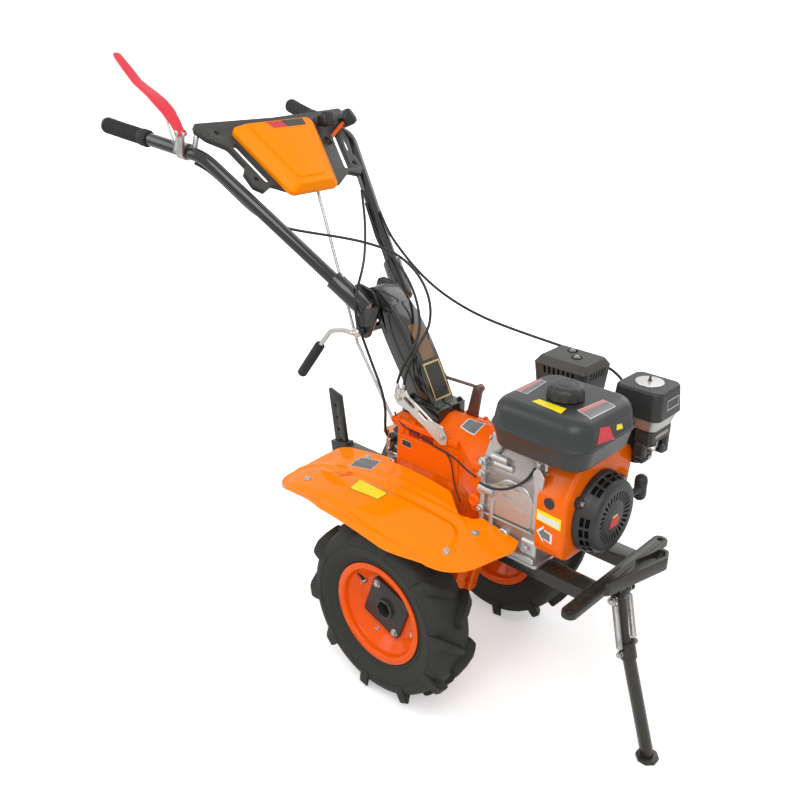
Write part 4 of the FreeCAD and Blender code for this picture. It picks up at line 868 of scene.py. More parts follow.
def cable_strap():
    """Plated strap that holds the cable ends: a hexagonal foot, a long slotted blade and two adjusters."""
    ring = rounded_outline([(-112, 616, 4), (-98, 637, 4), (-80, 635, 4), (-70, 626, 10), (-4, 591, 20),
                            (22, 587, 8), (37, 568, 4), (36, 551, 3), (21, 546, 4), (-2, 558, 10),
                            (-24, 572, 20), (-70, 594, 10), (-101, 600, 5)], 4)
    slots = [[Vector(p) for p in slot] for slot in (((-84, 617), (-78, 625), (-50, 609), (-56, 601)),
                                                    ((-43, 599), (-38, 606), (-14, 593), (-19, 586)))]
    points, edges = [], []
    for loop in (ring, *slots):
        first, n = len(points), len(loop)
        points += loop
        edges += [(first + k, first + (k + 1) % n) for k in range(n)]
    flat, _, faces = delaunay_2d_cdt(points, edges, [], 0, 1e-5)[:3]
    kept = []
    for face in faces:
        centre = sum((flat[k] for k in face), Vector((0, 0))) / len(face)
        if inside(centre, ring) and not any(inside(centre, slot) for slot in slots):
            kept.append(tuple(face))
    meshes = [outward(painted(walled(mesh_of([at(p.x, -67.5, p.y) for p in flat], kept), 3.4, 0.0),
                              STRAP_ZINC))]
    for x, z, lean in ((-89, 632, 0.1), (-105, 628, -0.06)):
        meshes.append(turned([(3.2, -16), (3.6, -15), (3.6, -6), (6.2, -6), (6.2, -1), (6.2, 0), (6.2, 4),
                              (4.2, 4.4), (4.2, 12), (3.2, 14)], (x, -64, z),
                             Vector((lean, 0.1, 1)).normalized(), 12, ZINC))
    made("cable_strap", meshes, "frame", None, ("cable_bracket",), 30)


def shift_fittings():
    """Plated bush, clevis and cable end beside the drawbar."""
    made("shift_clevis", [
        turned([(8.4, 0), (9.4, 1), (9.4, 20), (8.4, 21), (5, 21), (5, 25)],
               (-122, -44, 452), -Y, 32, CHROME),
        turned([(5.2, 0), (5.2, 8)], (-144, -46, 470), -Y, 6),
        turned([(3.4, 0), (4.2, 1), (4.2, 14), (6.0, 14), (6.0, 20), (4.4, 21), (4.4, 30)],
               (-148, -44, 492), Vector((0.05, -0.35, 1)).normalized(), 16),
        block((-152, -47, 436), (-112, -43.5, 466), 1.4), block((-153, -50, 462), (-141, -44, 498), 1.4)],
        "frame", ZINC)


housing_details()
cable_strap()
bolts("strap_bolts", [((25, -69.2, 566), -Y), ((-96, -69.2, 616), -Y)], 5.6, 3.6, 8.2)
shift_fittings()
label("gearbox_label", "frame", [(38, -30, 584), (82, -40, 584), (91, -8, 594), (42, 0, 590)],
      LABEL_GREY, LABEL_WHITE, 2.4, 0.5, surface_of("gearbox_cover", "bell_housing"))
label("gearbox_side_label", "frame",
      [(-94, -61, 503), (-66, -61, 503), (-66, -61, 519), (-94, -61, 519)],
      LABEL_DARK, LABEL_SILVER, 1.6, 0.4)

for name, radius, points in (
        ("ignition_wire", 2.0, [(-116, -61, 574), (-96, -66, 556), (-60, -65, 547), (-20, -64, 538),
                                (20, -62, 530), (50, -64, 528), (84, -80, 530), (118, -97, 531),
                                (140, -101, 530)]),
        ("switch_wire", 1.5, [(30, -62, 529), (44, -64, 520), (50, -64, 500), (54, -64, 478), (62, -66, 460),
                              (72, -70, 446), (86, -78, 442)]),
        ("oil_sensor_wire", 2.6, [(156, -108, 526), (176, -113, 527), (200, -113, 530), (226, -110, 540),
                                  (248, -103, 556), (262, -96, 574), (268, -90, 592)]),
        ("fuel_hose", 4.0, [(330, 20, 640), (332, 48, 626), (336, 78, 600), (342, 104, 584),
                            (346, 118, 578)]),
        ("breather_hose", 4.4, [(300, 120, 600), (290, 134, 618), (290, 150, 634), (300, 160, 646)])):
    made(name, [tube(points, radius, CABLE_BLACK)], "frame", angle=50)


def stand_springs():
    """Pair of close-wound springs from the pivot bolt to a pin on the leg, with ring hooks."""
    bend, foot = Vector((440, 262)), Vector((543.2 - 23 * math.cos(math.radians(22.5)), 8))
    pin = bend + (foot - bend).normalized() * 32
    meshes = []
    for side in (-26, 26):
        a, b = at(424, side, 346), at(pin.x, side, pin.y)
        along = (b - a).normalized()
        meshes.append(coil(a + along * 13 * MM, turn_to(along), (b - a).length / MM - 25, 38.0, 5.4, 0.85))
        for place, way, reach, eye in ((a, along, 14, 6.6), (b, -along, 13, 5.6)):
            across = way.cross(Y).normalized()
            round_eye = [math.radians(25 + 31 * k) for k in range(11)]
            meshes.append(tube([place + way * (reach + 1) * MM, place + way * (reach - 4) * MM]
                               + [place + (way * math.cos(t) + across * math.sin(t)) * eye * MM
                                  for t in round_eye],
                               0.95, ZINC, 6))
    made("stand_spring_coils", meshes, "stand", None, ("stand_springs",), 60)


stand_springs()


# ---------------------------------------------------------------- engine
for node_name, material, width in (
        ("crankcase", CAST, 4.0), ("cylinder_block", CAST, 0.9), ("fan_shroud", ORANGE_SHROUD, 3.0),
        ("muffler_pipe", DARK_STEEL, 1.2), ("fuel_tank", TANK_BLACK, 1.5),
        ("air_cleaner_cover", COVER_BLACK, 4.5),
        ("air_cleaner_base", CAST_PALE, 2.5), ("carburettor", COVER_BLACK, 1.6)):
    eased(node_name, material, width)
SHROUD_SKIN, AIR_SKIN, TANK_SKIN = [surface_of(n) for n in ("fan_shroud", "air_cleaner_cover", "fuel_tank")]


def drawn_in(ring, centre, width):
    return [p + (centre - p).normalized() * width for p in ring]


def plate_on_side(outline, y, thick):
    """Flat raised plate on the right side of the engine, with a chamfered rim."""
    ring = rounded_outline(outline, 4)
    centre = sum(ring, Vector((0, 0))) / len(ring)
    return outward(skinned([[at(p.x, y - lift, p.y) for p in drawn_in(ring, centre, inset)]
                            for lift, inset in ((0, 0), (thick - 1.2, 0), (thick, 1.4))], ends=(False, True)))


def crankcase_details():
    """Flange with its bolts, side cover, lugs, base edge and brackets of the engine's right side."""
    meshes = [plate_on_side([(170, 466, 8), (273, 466, 8), (277, 520, 10), (262, 548, 30), (214, 554, 30),
                             (190, 534, 14), (172, 526, 8)], -97.0, 3.6)]
    for low, high, bevel in (
            ((206, -102.6, 537), (270, -100, 538), 0.8), ((208, -102.6, 517), (250, -100, 517), 0.8),
            ((236, -102.6, 500), (270, -100, 501), 0.8), ((152, -104, 414), (163, -88, 572), 3.5),
            ((150, -107, 396), (288, -94, 408), 2.4), ((165, -101.5, 456), (278, -96, 461), 1.6),
            ((160, -84, 586), (184, -62, 628), 3.5), ((268, -88, 588), (292, -64, 622), 3.5),
            ((252, -101, 408), (287, -90, 442), 4)):
        meshes.append(block(low, high, bevel))
    for z, r in ((572, 8.5), (546, 8), (512, 9.5), (470, 8), (432, 8)):
        meshes.append(turned([(r, 0), (r, 15), (r - 1.5, 16.5)], (158, -92, z), -Y, 24))
    for x, z, long in ((170, 584, 38), (178, 571, 44), (158, 552, 28)):
        meshes.append(turned([(6.2, 0), (7, 1), (7, long - 1), (6.2, long)], (x, -91, z), X, 24))
    for profile, place, axis, segments in (
            ([(9.5, 0), (11, 1.5), (11, 32), (9.5, 34)], (152, -99, 514), X, 28),
            ([(5, 0), (5, 60)], (183, -101, 436), Z, 20),
            ([(9, 0), (9, 5)], (163, -102, 428), Z, 24),
            ([(9, 0), (9, 5)], (183, -102, 428), Z, 24),
            ([(13, -6), (13, 6), (11, 8)], (214, -98, 432), -Y, 36)):
        meshes.append(turned(profile, place, axis, segments))
    made("crankcase_castings", meshes, "frame", CAST_PALE)
    made("crankcase_bright_edges", [
        plate_on_side([(277, 470, 3), (290, 474, 3), (294, 540, 20), (298, 585, 6), (282, 604, 6),
                       (272, 590, 8), (278, 556, 20)], -97.5, 5.0),
        block((166, -104.5, 461), (277, -97, 463.5), 0.6), block((152, -108, 406), (286, -96, 409.5), 0.8)],
        "frame", CAST_PALE)


crankcase_details()
bolts("crankcase_bolts", [((158, -108.4, z), -Y) for z in (572, 546, 470, 432)]
      + [((163, -102, 433), Z), ((183, -102, 433), Z), ((172, -73, 628), Z), ((278, -89, 604), -Y),
         ((270, -102, 426), -Y)], 5.2, 4.6, 6.8)
bolts("bell_bolts", [((150.6, y, z), -X) for y, z in ((60, 604), (90, 560), (-66, 606))], 5.2, 4.6, 7.0)


def fuel_cap():
    """Cap whose rim is fluted for the hand, from (radius, along, whether fluted)."""
    profile = [(0, -4, 0), (29, -4, 0), (29, 3, 0), (34.6, 4, 0), (34.8, 8, 1), (34.6, 17, 1), (32.6, 22, 1),
               (28.5, 25.2, 0), (24, 26.6, 0), (18, 27.2, 0), (16.5, 26.6, 0), (15, 27.4, 0), (9, 27.8, 0),
               (0, 27.9, 0)]
    slices, flutes, depth = 144, 12, 1.8
    rings = []
    for angle in [2 * math.pi * k / slices for k in [*range(slices), 0]]:
        deep = depth * (0.5 + 0.5 * math.cos(flutes * angle))
        way = Matrix.Rotation(angle, 3, Z) @ X
        rings.append([at(296, -52, 730) + (way * (r - deep * fluted) + Z * t) * MM
                      for r, t, fluted in profile])
    made("fuel_cap_fluted", [outward(skinned(rings, None, False, ()))], "frame", COVER_BLACK,
         ("fuel_cap",), 50)


def opened(rows, is_open, wall, material):
    """Closed sheet through rows of places, with the open cells cut out, then given its wall."""
    columns = len(rows[0])

    def cut(bm):
        bm.faces.ensure_lookup_table()
        bmesh.ops.delete(bm, geom=[bm.faces[j * columns + i] for j in range(len(rows) - 1)
                                   for i in range(columns) if is_open(i, j)], context="FACES")
        bmesh.ops.remove_doubles(bm, verts=bm.verts, dist=1e-6)
    return painted(walled(edited(skinned(rows, ends=()), cut), wall, -1.0), material)


RECOIL_ROWS = [(82.0, 0.2), (82.0, 9), (80.5, 12), (78.6, 14), (76.4, 21.5), (75.6, 24), (73.4, 32),
               (71.5, 36.5), (69.0, 40), (64.5, 41.8), (56, 42), (52, 41.6), (34, 40.2), (30, 40.2),
               (25, 41.4), (12, 41.8), (0.4, 41.9)]
SIDE_ROWS, FACE_ROW = (3, 5), 11
EAR_ANGLES = [math.radians(a) for a in (27, 147, 267)]


def on_recoil(radius, angle, x):
    return at(x, radius * math.cos(angle), 500 + radius * math.sin(angle))


def recoil():
    """Housing of the pull starter, slotted in its side between the ears and in its face, and its grip."""
    slices = 180

    def is_open(i, j):
        from_ear = (i * 360 / slices - 27) % 120
        return (j in SIDE_ROWS and 16 <= from_ear < 104 and (from_ear - 16) % 18 < 14
                or j == FACE_ROW and i % 6 in (1, 2, 3))

    rows = [[on_recoil(radius, 2 * math.pi * i / slices, 350 + along) for i in range(slices)]
            for radius, along in RECOIL_ROWS]
    # painted shade: a near-black cup inside the housing stands for the shade seen through the slots
    dark = [(72, 2), (72, 14), (68, 30), (60, 37), (28, 37)]
    ear = [(10.5, 0), (10.5, 9), (9, 10.5)]
    meshes = [opened(rows, is_open, 2.4, COVER_BLACK), turned(dark, (350, 0, 500), X, 72, PAINTED_SHADE_BLACK)]
    meshes += [turned(ear, on_recoil(83, angle, 350.2), X, 28, COVER_BLACK) for angle in EAR_ANGLES]
    made("recoil_housing", meshes, "frame", None, ("recoil_cover",))
    badge = []
    for low, high, inset, material in ((-19, -2, 0, LABEL_RED), (0, 5, 5, LABEL_GOLD)):
        ring = rounded_outline([(-18 + inset, low, 2), (12 - inset, low, 2), (18 - inset, high, 2),
                                (-12 + inset, high, 2)])
        badge.append(skinned([[at(x, p.x, 500 + p.y) for p in ring] for x in (391.8, 392.6)], material,
                             ends=(False, True)))
    made("recoil_badge", badge, "frame", angle=None)
    made("pull_start_grip", [
        turned([(0, -27), (7, -26.4), (11.4, -22), (13, -14), (12.6, -4), (12.6, 4), (13, 14), (11.4, 22),
                (7, 26.4), (0, 27)], (372, 126, 506), Z),
        turned([(9.5, 0), (9.5, 6), (6.6, 8), (6.6, 34), (8.6, 42), (8.6, 54)],
               (372, 70, 504), Y, 28)], "frame", COVER_BLACK, ("starter_grip",), 50)
    bolts("recoil_bolts", [(on_recoil(83, angle, 360.6), X) for angle in EAR_ANGLES], 4.6, 3.6, 6.4)


MUFFLER_LEVELS = [(650, 7), (652, 6.5), (701, 1.9), (716.4, 0.3), (718.4, 0.0), (720, 0.8), (731.5, 8.6),
                  (732.6, 11)]               # height, inset
SLOT_ROW = 2
MUFFLER_BOLTS = ((177, 150), (204, 124))


def muffler():
    """Box with a row of slots under its shoulder and two sunk bolts in its top; the shade behind the slots and
    in the bolt wells is painted near black.
    """
    ring, slotted = [], []
    for x, y, start, pitch, (dx, dy) in (
            (244, 88, -90, 19, (105, 0)), (244, 170, 0, 17, (0, 82)),
            (139, 170, 90, 19, (-105, 0)), (139, 88, 180, 17, (0, -82))):
        # the straight side that leads to this corner, then the corner
        ax, ay = x + 8 * math.cos(math.radians(start)) - dx, y + 8 * math.sin(math.radians(start)) - dy
        ring += [(ax + dx * i / pitch, ay + dy * i / pitch) for i in range(pitch)]
        slotted += [i % 2 == 1 and 1 < i < pitch - 2 for i in range(pitch)]
        steps = 3
        turns = [math.radians(start + 90 * i / steps) for i in range(steps)]
        ring += [(x + 8 * math.cos(a), y + 8 * math.sin(a)) for a in turns]
        slotted += [False] * steps
    rows = [[at(191.5 + (x - 191.5) * (1 - inset / 60.5), 129 + (y - 129) * (1 - inset / 49), z)
             for x, y in ring]
            for z, inset in MUFFLER_LEVELS]
    n = len(ring)
    lid = mesh_of(rows[-1] + [at(191.5, 129, 732.8)], [(i, (i + 1) % n, n) for i in range(n)], MUFFLER_BLACK)
    # painted shade: a near-black box inside the slotted one stands for the shade behind the slots
    dark = skinned([[at(191.5 + (x - 191.5) * 0.84, 129 + (y - 129) * 0.84, z) for x, y in ring]
                    for z in (655, 726)], PAINTED_SHADE_BLACK)
    # painted shade: near-black rings round the sunk bolts stand for the shade in their wells
    well = [(0, 0.3), (8.4, 0.3), (8.8, 1.0), (10.4, 1.0), (11.4, 0.2)]
    made("muffler_box", [opened(rows, lambda i, j: j == SLOT_ROW and slotted[i], 1.6, MUFFLER_BLACK), lid,
                         outward(dark)]
         + [turned(well, (x, y, 732.4), Z, 32, PAINTED_SHADE_BLACK, capped=False) for x, y in MUFFLER_BOLTS],
         "frame", None, ("muffler_cover",), 30)
    bolts("muffler_bolts", [((x, y, 732.8), Z) for x, y in MUFFLER_BOLTS], 4.4, 3.4, 6.0)


fuel_cap()
recoil()
muffler()

# the air cleaner's cover is held by a stud through a bright disc
DISC = at(355, 144, 0) + Z * AIR_SKIN.ray_cast(at(355, 144, 800), -Z)[0].z
for name, profile, place, axis, segments, material, slot in (
        ("air_cleaner_disc", [(0, 0), (26, 0), (27.4, 0.6), (27, 1.4), (22, 1.8), (6, 2.6), (0, 2.8)], DISC,
         Z, 64, LABEL_SILVER, "zinc"),
        ("air_cleaner_nut", [(0, 0), (4.0, 0), (4.0, 2.4), (2.2, 3.0), (2.2, 10), (0, 10.4)],
         DISC + Z * 2.4 * MM, Z, 20, DARK_STEEL, "zinc"),
        ("shroud_plug", [(0, 0), (11, 0), (11.4, 1.2), (9.6, 2.6), (0, 3)], (316, -107.6, 544), -Y, 40,
         COVER_BLACK, "black_plastic"),
        ("choke_knob", [(0, 0), (4, 0), (4, 8), (8.5, 10), (9, 20), (6, 24), (0, 25)], (374, 150, 590), X, 28,
         KNOB_BLACK, "dark_metal"),
        ("bowl_nut", [(0, 0), (7, 0), (7, 6), (5, 9), (0, 10)], (348, 140, 557), -Z, 28, ZINC, "dark_metal"),
        ("jet_screw", [(6.6, 0), (6.6, 22), (5.6, 24)], (370, 118, 600), X, 28, CHROME,
         "dark_metal"),
        ("drain_screw", [(5, 0), (5, 10), (3, 12)], (372, 128, 574), X, 28, ZINC, "dark_metal"),
        ("throttle_pivot", [(5, 0), (5, 8), (3, 9), (3, 15)], (330, 162, 618), Y, 28, ZINC,
         "dark_metal"),
        ("governor_nut", [(6, 0), (6, 5), (3, 6), (3, 12)], (322, 120, 628), Z, 28, ZINC,
         "dark_metal"),
        ("idle_screw", [(4.6, 0), (4.6, 5), (2.2, 6), (2.2, 16)], (374, 160, 610), X, 28, CHROME,
         "dark_metal")):
    made(name, [turned(profile, place, axis, segments)], "frame", material)
made("intake_castings", [block(low, high, bevel) for low, high, bevel in (
    ((352, 104, 604), (392, 186, 640), 6), ((360, 168, 566), (390, 190, 612), 6),
    ((352, 112, 560), (378, 150, 590), 6), ((360, 96, 580), (384, 116, 612), 4))],
    "frame", COVER_BLACK)
made("carburettor_levers", [block(low, high, 1.2) for low, high in (
    ((326, 163, 606), (333, 167, 650)), ((385, 120, 618), (394, 168, 626)),
    ((302, 110, 640), (308, 166, 645)), ((314, 168, 622), (326, 186, 630)),
    ((384, 132, 596), (391, 138, 622)))], "frame", CAST)
made("governor_spring", [coil((306, 166, 645), Matrix.Rotation(math.radians(90), 4, "Y"), 38, 16.0, 3.0,
                              0.5)],
     "frame", angle=None)

for name, slot, corners, bands, edge, width, lift, skin in (
        ("air_cleaner_label", "black_plastic",
         [(410, 126, 680), (410, 170, 680), (410, 170, 700), (410, 126, 700)], LABEL_DARK, LABEL_SILVER, 2.0,
         0.3, AIR_SKIN),
        ("tank_label_yellow", "tank_black",
         [(262, -107, 730), (329, -115, 730), (324, -91, 730), (266, -90, 730)], LABEL_YELLOW, None, 0, 0.35,
         TANK_SKIN),
        ("tank_label_right", "tank_black",
         [(376, -96, 729), (378, -18, 727), (349, -13, 730), (341, -84, 730)],
         [(0, 0.7, LABEL_GREY), (0.7, 1, LABEL_ROSE)], LABEL_WHITE, 1.6, 0.35, TANK_SKIN),
        ("tank_label_left", "tank_black", [(237, -87, 730), (229, -14, 730), (212, -13, 729),
                                           (211, -87, 729)],
         [(0, 0.6, LABEL_GREY), (0.6, 1, LABEL_ROSE)], LABEL_WHITE, 1.6, 0.35, TANK_SKIN),
        ("tank_patch_yellow", "tank_black",
         [(394, -36, 693), (394, -14, 689), (391, -18, 699), (391, -34, 702)], LABEL_YELLOW, None, 0, 0.35,
         TANK_SKIN),
        ("tank_patch_red", "tank_black", [(395, -98, 687), (395, -44, 680), (392, -58, 708), (390, -87, 714)],
         LABEL_RED, None, 0, 0.35, TANK_SKIN),
        ("shroud_label", "orange_shroud", [(291, -109, 502), (344, -109, 497), (344, -109, 521),
                                           (291, -109, 524)],
         [(0, 0.68, LABEL_WHITE), (0.68, 1, LABEL_YELLOW)], LABEL_YELLOW, 2.6, 0.3, SHROUD_SKIN)):
    label(name, "frame", corners, bands, edge, width, lift, skin)


def arrow_patch():
    """Blank arrow-shaped sticker on the shroud."""
    outline = [(293, 478), (309, 495), (309, 487), (328, 483), (328, 462), (309, 466), (309, 459)]
    meshes = []
    for grow, lift, material in ((1.0, 0.3, LABEL_WHITE), (0.72, 0.5, LABEL_GREY)):
        points = []
        for x, z in outline:
            spot = at(311 + (x - 311) * grow, -160, 475 + (z - 475) * grow)
            points.append((SHROUD_SKIN.ray_cast(spot, Y)[0] or spot + Y * 52 * MM) - Y * lift * MM)
        meshes.append(mesh_of(points, [tuple(range(len(points)))], material))
        facing(meshes[-1], -Y)
    made("shroud_arrow", meshes, "frame", angle=None)


arrow_patch()


# ---------------------------------------------------------------- handle column and yoke
for node_name, material, width in (
        ("handle_yoke", BLACK_PAINT, 1.6), ("handlebar_right", BLACK_PAINT, 0.6),
        ("handlebar_left", BLACK_PAINT, 0.6),
        ("control_panel", PANEL_BLACK, 1.2), ("tube_clamps", ZINC, 0.8)):
    eased(node_name, material, width)
eased("handle_column", COLUMN_BLACK, 4.0, 50.0, 3)
eased("panel_hood", HOOD_ORANGE, 3.2, 18.0, 3)
COLUMN_SKIN, HOOD_SKIN = surface_of("handle_column"), surface_of("panel_hood")
COLUMN_FRONT = Vector((0.85, 0, 0.53))      # the way the column's front looks


def column_plate():
    """Gold-framed blank plate low on the column's front, under a tinted strip."""
    meshes = []
    for z0, z1, left, right, lift, material in ((690, 756, -19, 19, 0.25, BRONZE),
                                                (613, 684, -24, 25, 0.4, LABEL_GOLD),
                                                (616, 681, -21, 22, 0.7, LABEL_DARK)):
        rows = [[(left + (right - left) * i / 4, z0 + (z1 - z0) * j / 8) for i in range(5)] for j in range(9)]
        mesh = skinned([[(COLUMN_SKIN.ray_cast(at(80, y, z), -X)[0]
                          or at(-60, y, z)) + COLUMN_FRONT * lift * MM
                         for y, z in row] for row in rows], material, False, ())
        facing(mesh, X)
        meshes.append(mesh)
    made("column_plate", meshes, "frame", angle=None)


def column_cheeks():
    """Raised side plates of the column, leaving the recessed edge line seen from the side."""
    ring = rounded_outline([(-44, 610, 8), (-62, 648, 30), (-96, 704, 60), (-138, 760, 60), (-176, 790, 18),
                            (-190, 774, 14), (-166, 724, 60), (-134, 672, 60), (-104, 624, 40),
                            (-98, 610, 6)])
    made("column_sides", [
        outward(bevelled(outward(skinned([[at(p.x, side * y, p.y) for p in ring] for y in (29.6, 31.5)])),
                         0.9))
        for side in (-1, 1)], "frame", COLUMN_BLACK)


column_plate()
column_cheeks()
paired_bolts("yoke_bolts", (9.5, 7.0, 13.0), None, [(-208, 48, 790)], body="handlebar")
bolts("clamp_nut", [((-234, 44, 722), Y)], 7.5, 6.0, 11.0, "handlebar")
paired_bolts("barrel_bolts", (5.4, 5.0, 8.0), Z * 0.74 + X * 0.67, [(-252, 82, 845)], body="handlebar")


# ---------------------------------------------------------------- handlebar
RUN = Vector((-0.7394, 0, 0.6732))          # up the slope of the tubes' plane
RISE = Vector((0.6732, 0, 0.7394))          # square to it
LEVER_PLANE = -236


def on_panel(y, s, n):
    return at(-268, y, 841) + (RUN * s + RISE * n) * MM


def grip(side):
    """Ribbed sleeve with a collar, from the bar's end forwards."""
    end = at(-800, 267 * side, 1120)
    profile = [(0, -5.4), (10, -5.2), (15.5, -3.6), (17.6, 0.5)]
    for start in range(5, 103, 7):
        profile += [(17.6, start), (16.2, start + 1.0), (16.2, start + 2.6), (17.6, start + 3.6)]
    profile += [(17.6, 106), (18.9, 108), (18.9, 123), (17.6, 126), (14.3, 127.4), (14.3, 60)]
    return turned(profile, end, (at(-525, 210 * side, 1075) - end).normalized(), 48)


def clutch_lever():
    """Pressed lever: flat red blade that widens into two cheeks at its pin."""
    spine = [(-781, 1266, 6.0, 3.6), (-775, 1262, 9.0, 5.2), (-742, 1238, 10.4, 6.4), (-706, 1212, 10.6, 6.8),
             (-680, 1201, 11.4, 7.0), (-652, 1190, 14.0, 6.8), (-628, 1178, 16.0, 7.4),
             (-602, 1162, 15.0, 8.2), (-580, 1142, 12.4, 8.0), (-566, 1124, 10.4, 7.6),
             (-560, 1115, 9.6, 6.6)]
    rings = []
    for before, (x, z, half, deep), after in zip(spine[:1] + spine, spine, spine[1:] + spine[-1:]):
        along = Vector((after[0] - before[0], 0, after[1] - before[1])).normalized()
        up = Vector((-along.z, 0, along.x))
        if up.z < 0:
            up = -up
        section = ((half, deep * 0.55), (half, -deep * 0.2), (half - 2.6, -deep * 0.2),
                   (half - 3.6, deep * 0.45))
        section = [*[(-y, t) for y, t in section[1::-1]], (-half * 0.72, deep), (half * 0.72, deep), *section,
                   *[(-y, t) for y, t in section[:1:-1]]]
        rings.append([at(x, LEVER_PLANE + y, z) + up * t * MM for y, t in section])
    made("clutch_lever_blade", [outward(skinned(rings))], "handlebar", LEVER_RED,
         ("clutch_lever",), 32)


def hood_step():
    """Raised middle of the hood, with a stepped edge round it."""
    ring = rounded_outline([(-101, 372, 8), (-60, 224, 16), (20, 224, 16), (63, 372, 8)], 6)
    rings = []
    for lift, inset in ((0.0, 0.0), (1.6, 0.4), (2.6, 2.0), (2.8, 6.0)):
        spots = [(on_panel(p.x, p.y, 90), on_panel(p.x, p.y, 44))
                 for p in drawn_in(ring, Vector((-20, 300)), inset)]
        rings.append([(HOOD_SKIN.ray_cast(high, -RISE)[0] or low) + RISE * lift * MM for high, low in spots])
    middle = sum(rings[-1], Vector()) / len(ring)
    mesh = outward(skinned(rings + [[middle] * len(ring)], ends=()))
    if sum(face.normal.dot(RISE) for face in mesh.polygons) < 0:
        mesh.flip_normals()
    made("hood_step", [mesh], "handlebar", HOOD_ORANGE, angle=30)


def clamp_lever():
    """Plated bent bar with a hollow black grip, on the yoke's clamp bolt."""
    bar = tube([(-234, -46, 722), (-234, -62, 722), (-250, -62, 720), (-275, -50, 716), (-306, -42, 706),
                (-337, -35, 696), (-352, -33, 682), (-389, -30, 640)], 5.6, CHROME, 14)
    start, end = at(-382, -30.4, 648.6), at(-456, -25, 557)
    long = (end - start).length / MM
    sleeve = turned([(0, 2), (7, 0), (11.4, 0), (12, 1.5), (12, long - 2), (11, long), (8.4, long),
                     (8.0, long - 26), (0, long - 26)], start, (end - start).normalized(), 40, RUBBER)
    boss = turned([(10.6, 0), (10.6, 8), (11, 9), (11, 14), (9, 16)], (-234, -46, 722), -Y, 40,
                  CHROME)
    made("clamp_lever_bar", [bar, sleeve, boss], "handlebar", None, ("clamp_lever",))


def shift_levers():
    """Gear and reverse levers: steel stems with blunt black knobs, one stem red."""
    outline = rounded_outline([(-17, -15, 8), (17, -15, 8), (17, 15, 8), (-17, 15, 8)], 4)
    meshes = []
    for foot, top, stem_finish in ((on_panel(120, 384, 24), on_panel(118, 370, 46), BLACK_PAINT),
                                   (on_panel(110, 326, 24), on_panel(180, 363, 43), ORANGE_RIM)):
        along = (top - foot).normalized()
        across = along.cross(Y).normalized()
        other = along.cross(across)
        meshes += [
            tube([foot, foot + (top - foot) * 0.5, top], 4.6, stem_finish, 4),
            turned([(12, -2), (12, 3), (8.6, 5), (8, 9), (6, 10), (5, 14)],
                   foot + along * 3 * MM, along, 32, PANEL_BLACK),
            outward(skinned([[top + (other * p.x * k + across * p.y * k + along * t) * MM for p in outline]
                             for t, k in ((-11, 0.56), (-9, 0.76), (-1, 0.92), (7, 1.12), (17, 1.14),
                                          (22, 0.96), (24, 0.7))], KNOB_BLACK))]
    made("lever_stems_and_knobs", meshes, "handlebar", None, ("shift_levers",), 40)


made("grip_sleeves", [grip(-1), grip(1)], "handlebar", RUBBER, ("grips",), 40)
clutch_lever()
label("lever_label", "handlebar",
      [(-609, -229, 1171.5), (-609, -243, 1171.5), (-586, -243, 1152.5), (-586, -229, 1152.5)],
      LABEL_WHITE, None, 0, 3.4)
made("lever_pin", [turned([(5, -13), (6.4, -12), (6.4, -9.6), (3.8, -9.6), (3.8, 9.6), (6.4, 9.6), (6.4, 12),
                           (5, 13)], (-562, LEVER_PLANE, 1122), Y, 28)], "handlebar", CHROME)
made("lever_spring", [coil((-590, LEVER_PLANE, 1098), turn_to(Vector((-32, 0, 72)).normalized()), 76, 34.0,
                           3.0, 0.6)],
     "handlebar", angle=None)
hood_step()
# the hood's two-colour band, blank, across its upper edge
for name, bottom, top, material in (("hood_band_red", (-44, -4), (-16, -55), LABEL_RED),
                                    ("hood_band_grey", (-3, 48), (48, -15), LABEL_DARK)):
    label(name, "handlebar",
          [on_panel(y, 356, 60) for y in bottom] + [on_panel(y, 374, 60) for y in top], material, None, 0,
          3.2, HOOD_SKIN)
clamp_lever()
shift_levers()


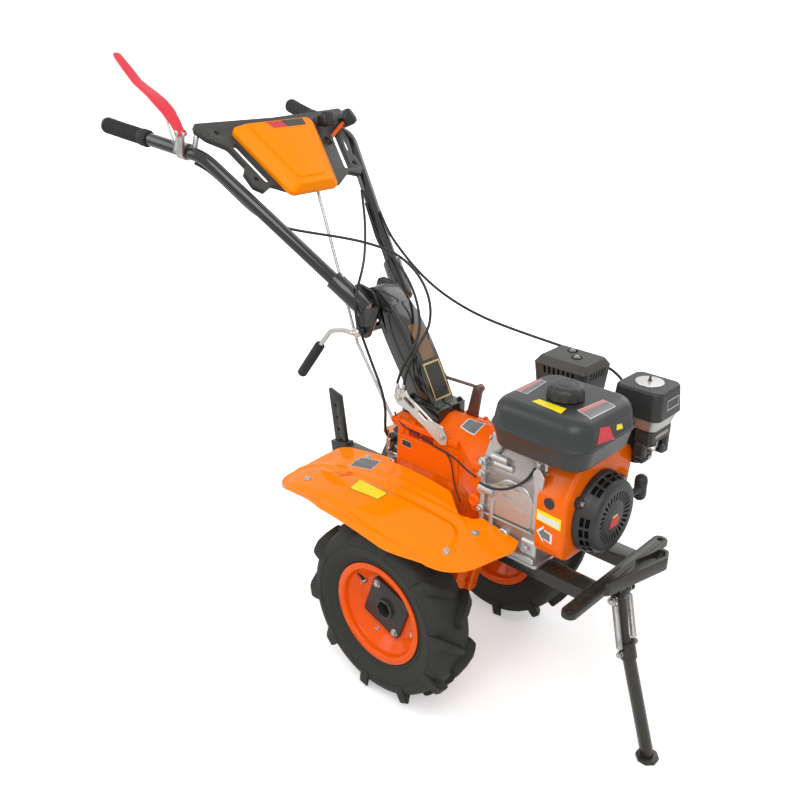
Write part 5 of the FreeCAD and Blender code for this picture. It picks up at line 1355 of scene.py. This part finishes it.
# ---------------------------------------------------------------- cables and gear rod
ROUTES = {
    "clutch_cable": [(-552, -214, 1060), (-531, -206, 1052), (-505, -196, 1034), (-473, -180, 1003),
                     (-434, -160, 965), (-407, -137, 944), (-372, -116, 934), (-330, -82, 926),
                     (-285, -46, 919), (-240, -10, 908), (-195, 28, 888), (-150, 50, 846), (-108, 40, 798),
                     (-78, 4, 757), (-80, -32, 724), (-84, -49, 690), (-89, -58, 664), (-88, -64, 642)],
    "reverse_cable": [(-388, 127, 950), (-350, 108, 915), (-304, 85, 874), (-255, 75, 861), (-205, 62, 838),
                      (-155, 42, 804), (-112, 12, 766), (-87, -20, 742), (-88, -46, 706), (-103, -56, 673),
                      (-106, -64, 644)],
    "shift_cable": [(-414, 139, 974), (-382, 114, 946), (-345, 82, 916), (-305, 42, 884), (-264, -2, 866),
                    (-228, -46, 851), (-206, -87, 816), (-200, -90, 770), (-190, -78, 720), (-168, -75, 672),
                    (-140, -77, 628), (-126, -78, 584), (-134, -72, 540), (-146, -56, 510), (-148, -42, 496)],
    "throttle_cable": [(-346, 131, 936), (-306, 113, 903), (-260, 108, 868), (-208, 106, 832),
                       (-150, 106, 802), (-88, 110, 779), (-24, 120, 761), (40, 136, 748), (98, 160, 734),
                       (148, 190, 718), (200, 203, 704), (246, 205, 692), (277, 201, 671), (296, 187, 647),
                       (321, 162, 628)]}
CORDS = [(node + "_sleeve", node, "rubber", CABLE_BLACK, [at(*p) for p in route], (3.0, 12, True))
         for node, route in ROUTES.items()]
CORDS.append(("gear_rod", "shift_rod", "zinc", ZINC,
              [on_panel(10, 225, 14.5), at(-300, 10, 664), at(-175, 10, 490)],
              (3.7, 8, False)))
for name, stands_for, slot, material, points, (radius, resolution, smooth) in CORDS:
    cord = made(name, [tube(points, radius, material, resolution, smooth)], None, None, (stands_for,),
                50)
    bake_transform(cord)


# ---------------------------------------------------------------- close
# every part that still shows its packed colour gets the finish of its slot
SLOT_FINISHES = {
    "orange_paint": ORANGE, "orange_shroud": ORANGE_SHROUD, "orange_plastic": HOOD_ORANGE,
    "black_paint": BLACK_PAINT, "black_plastic": COVER_BLACK, "tank_black": TANK_BLACK,
    "muffler_black": MUFFLER_BLACK, "cast_aluminium": CAST, "dark_metal": DARK_STEEL, "zinc": ZINC,
    "lever_steel": CHROME, "red_paint": LEVER_RED, "rubber": RUBBER, "knob_plastic": KNOB_BLACK,
    "tyre_rubber": TYRE}
for node_name in NODES:
    if node_name != "axle_shaft":
        repaint(SLOT_FINISHES[SLOT_OF[node_name]], node_name)
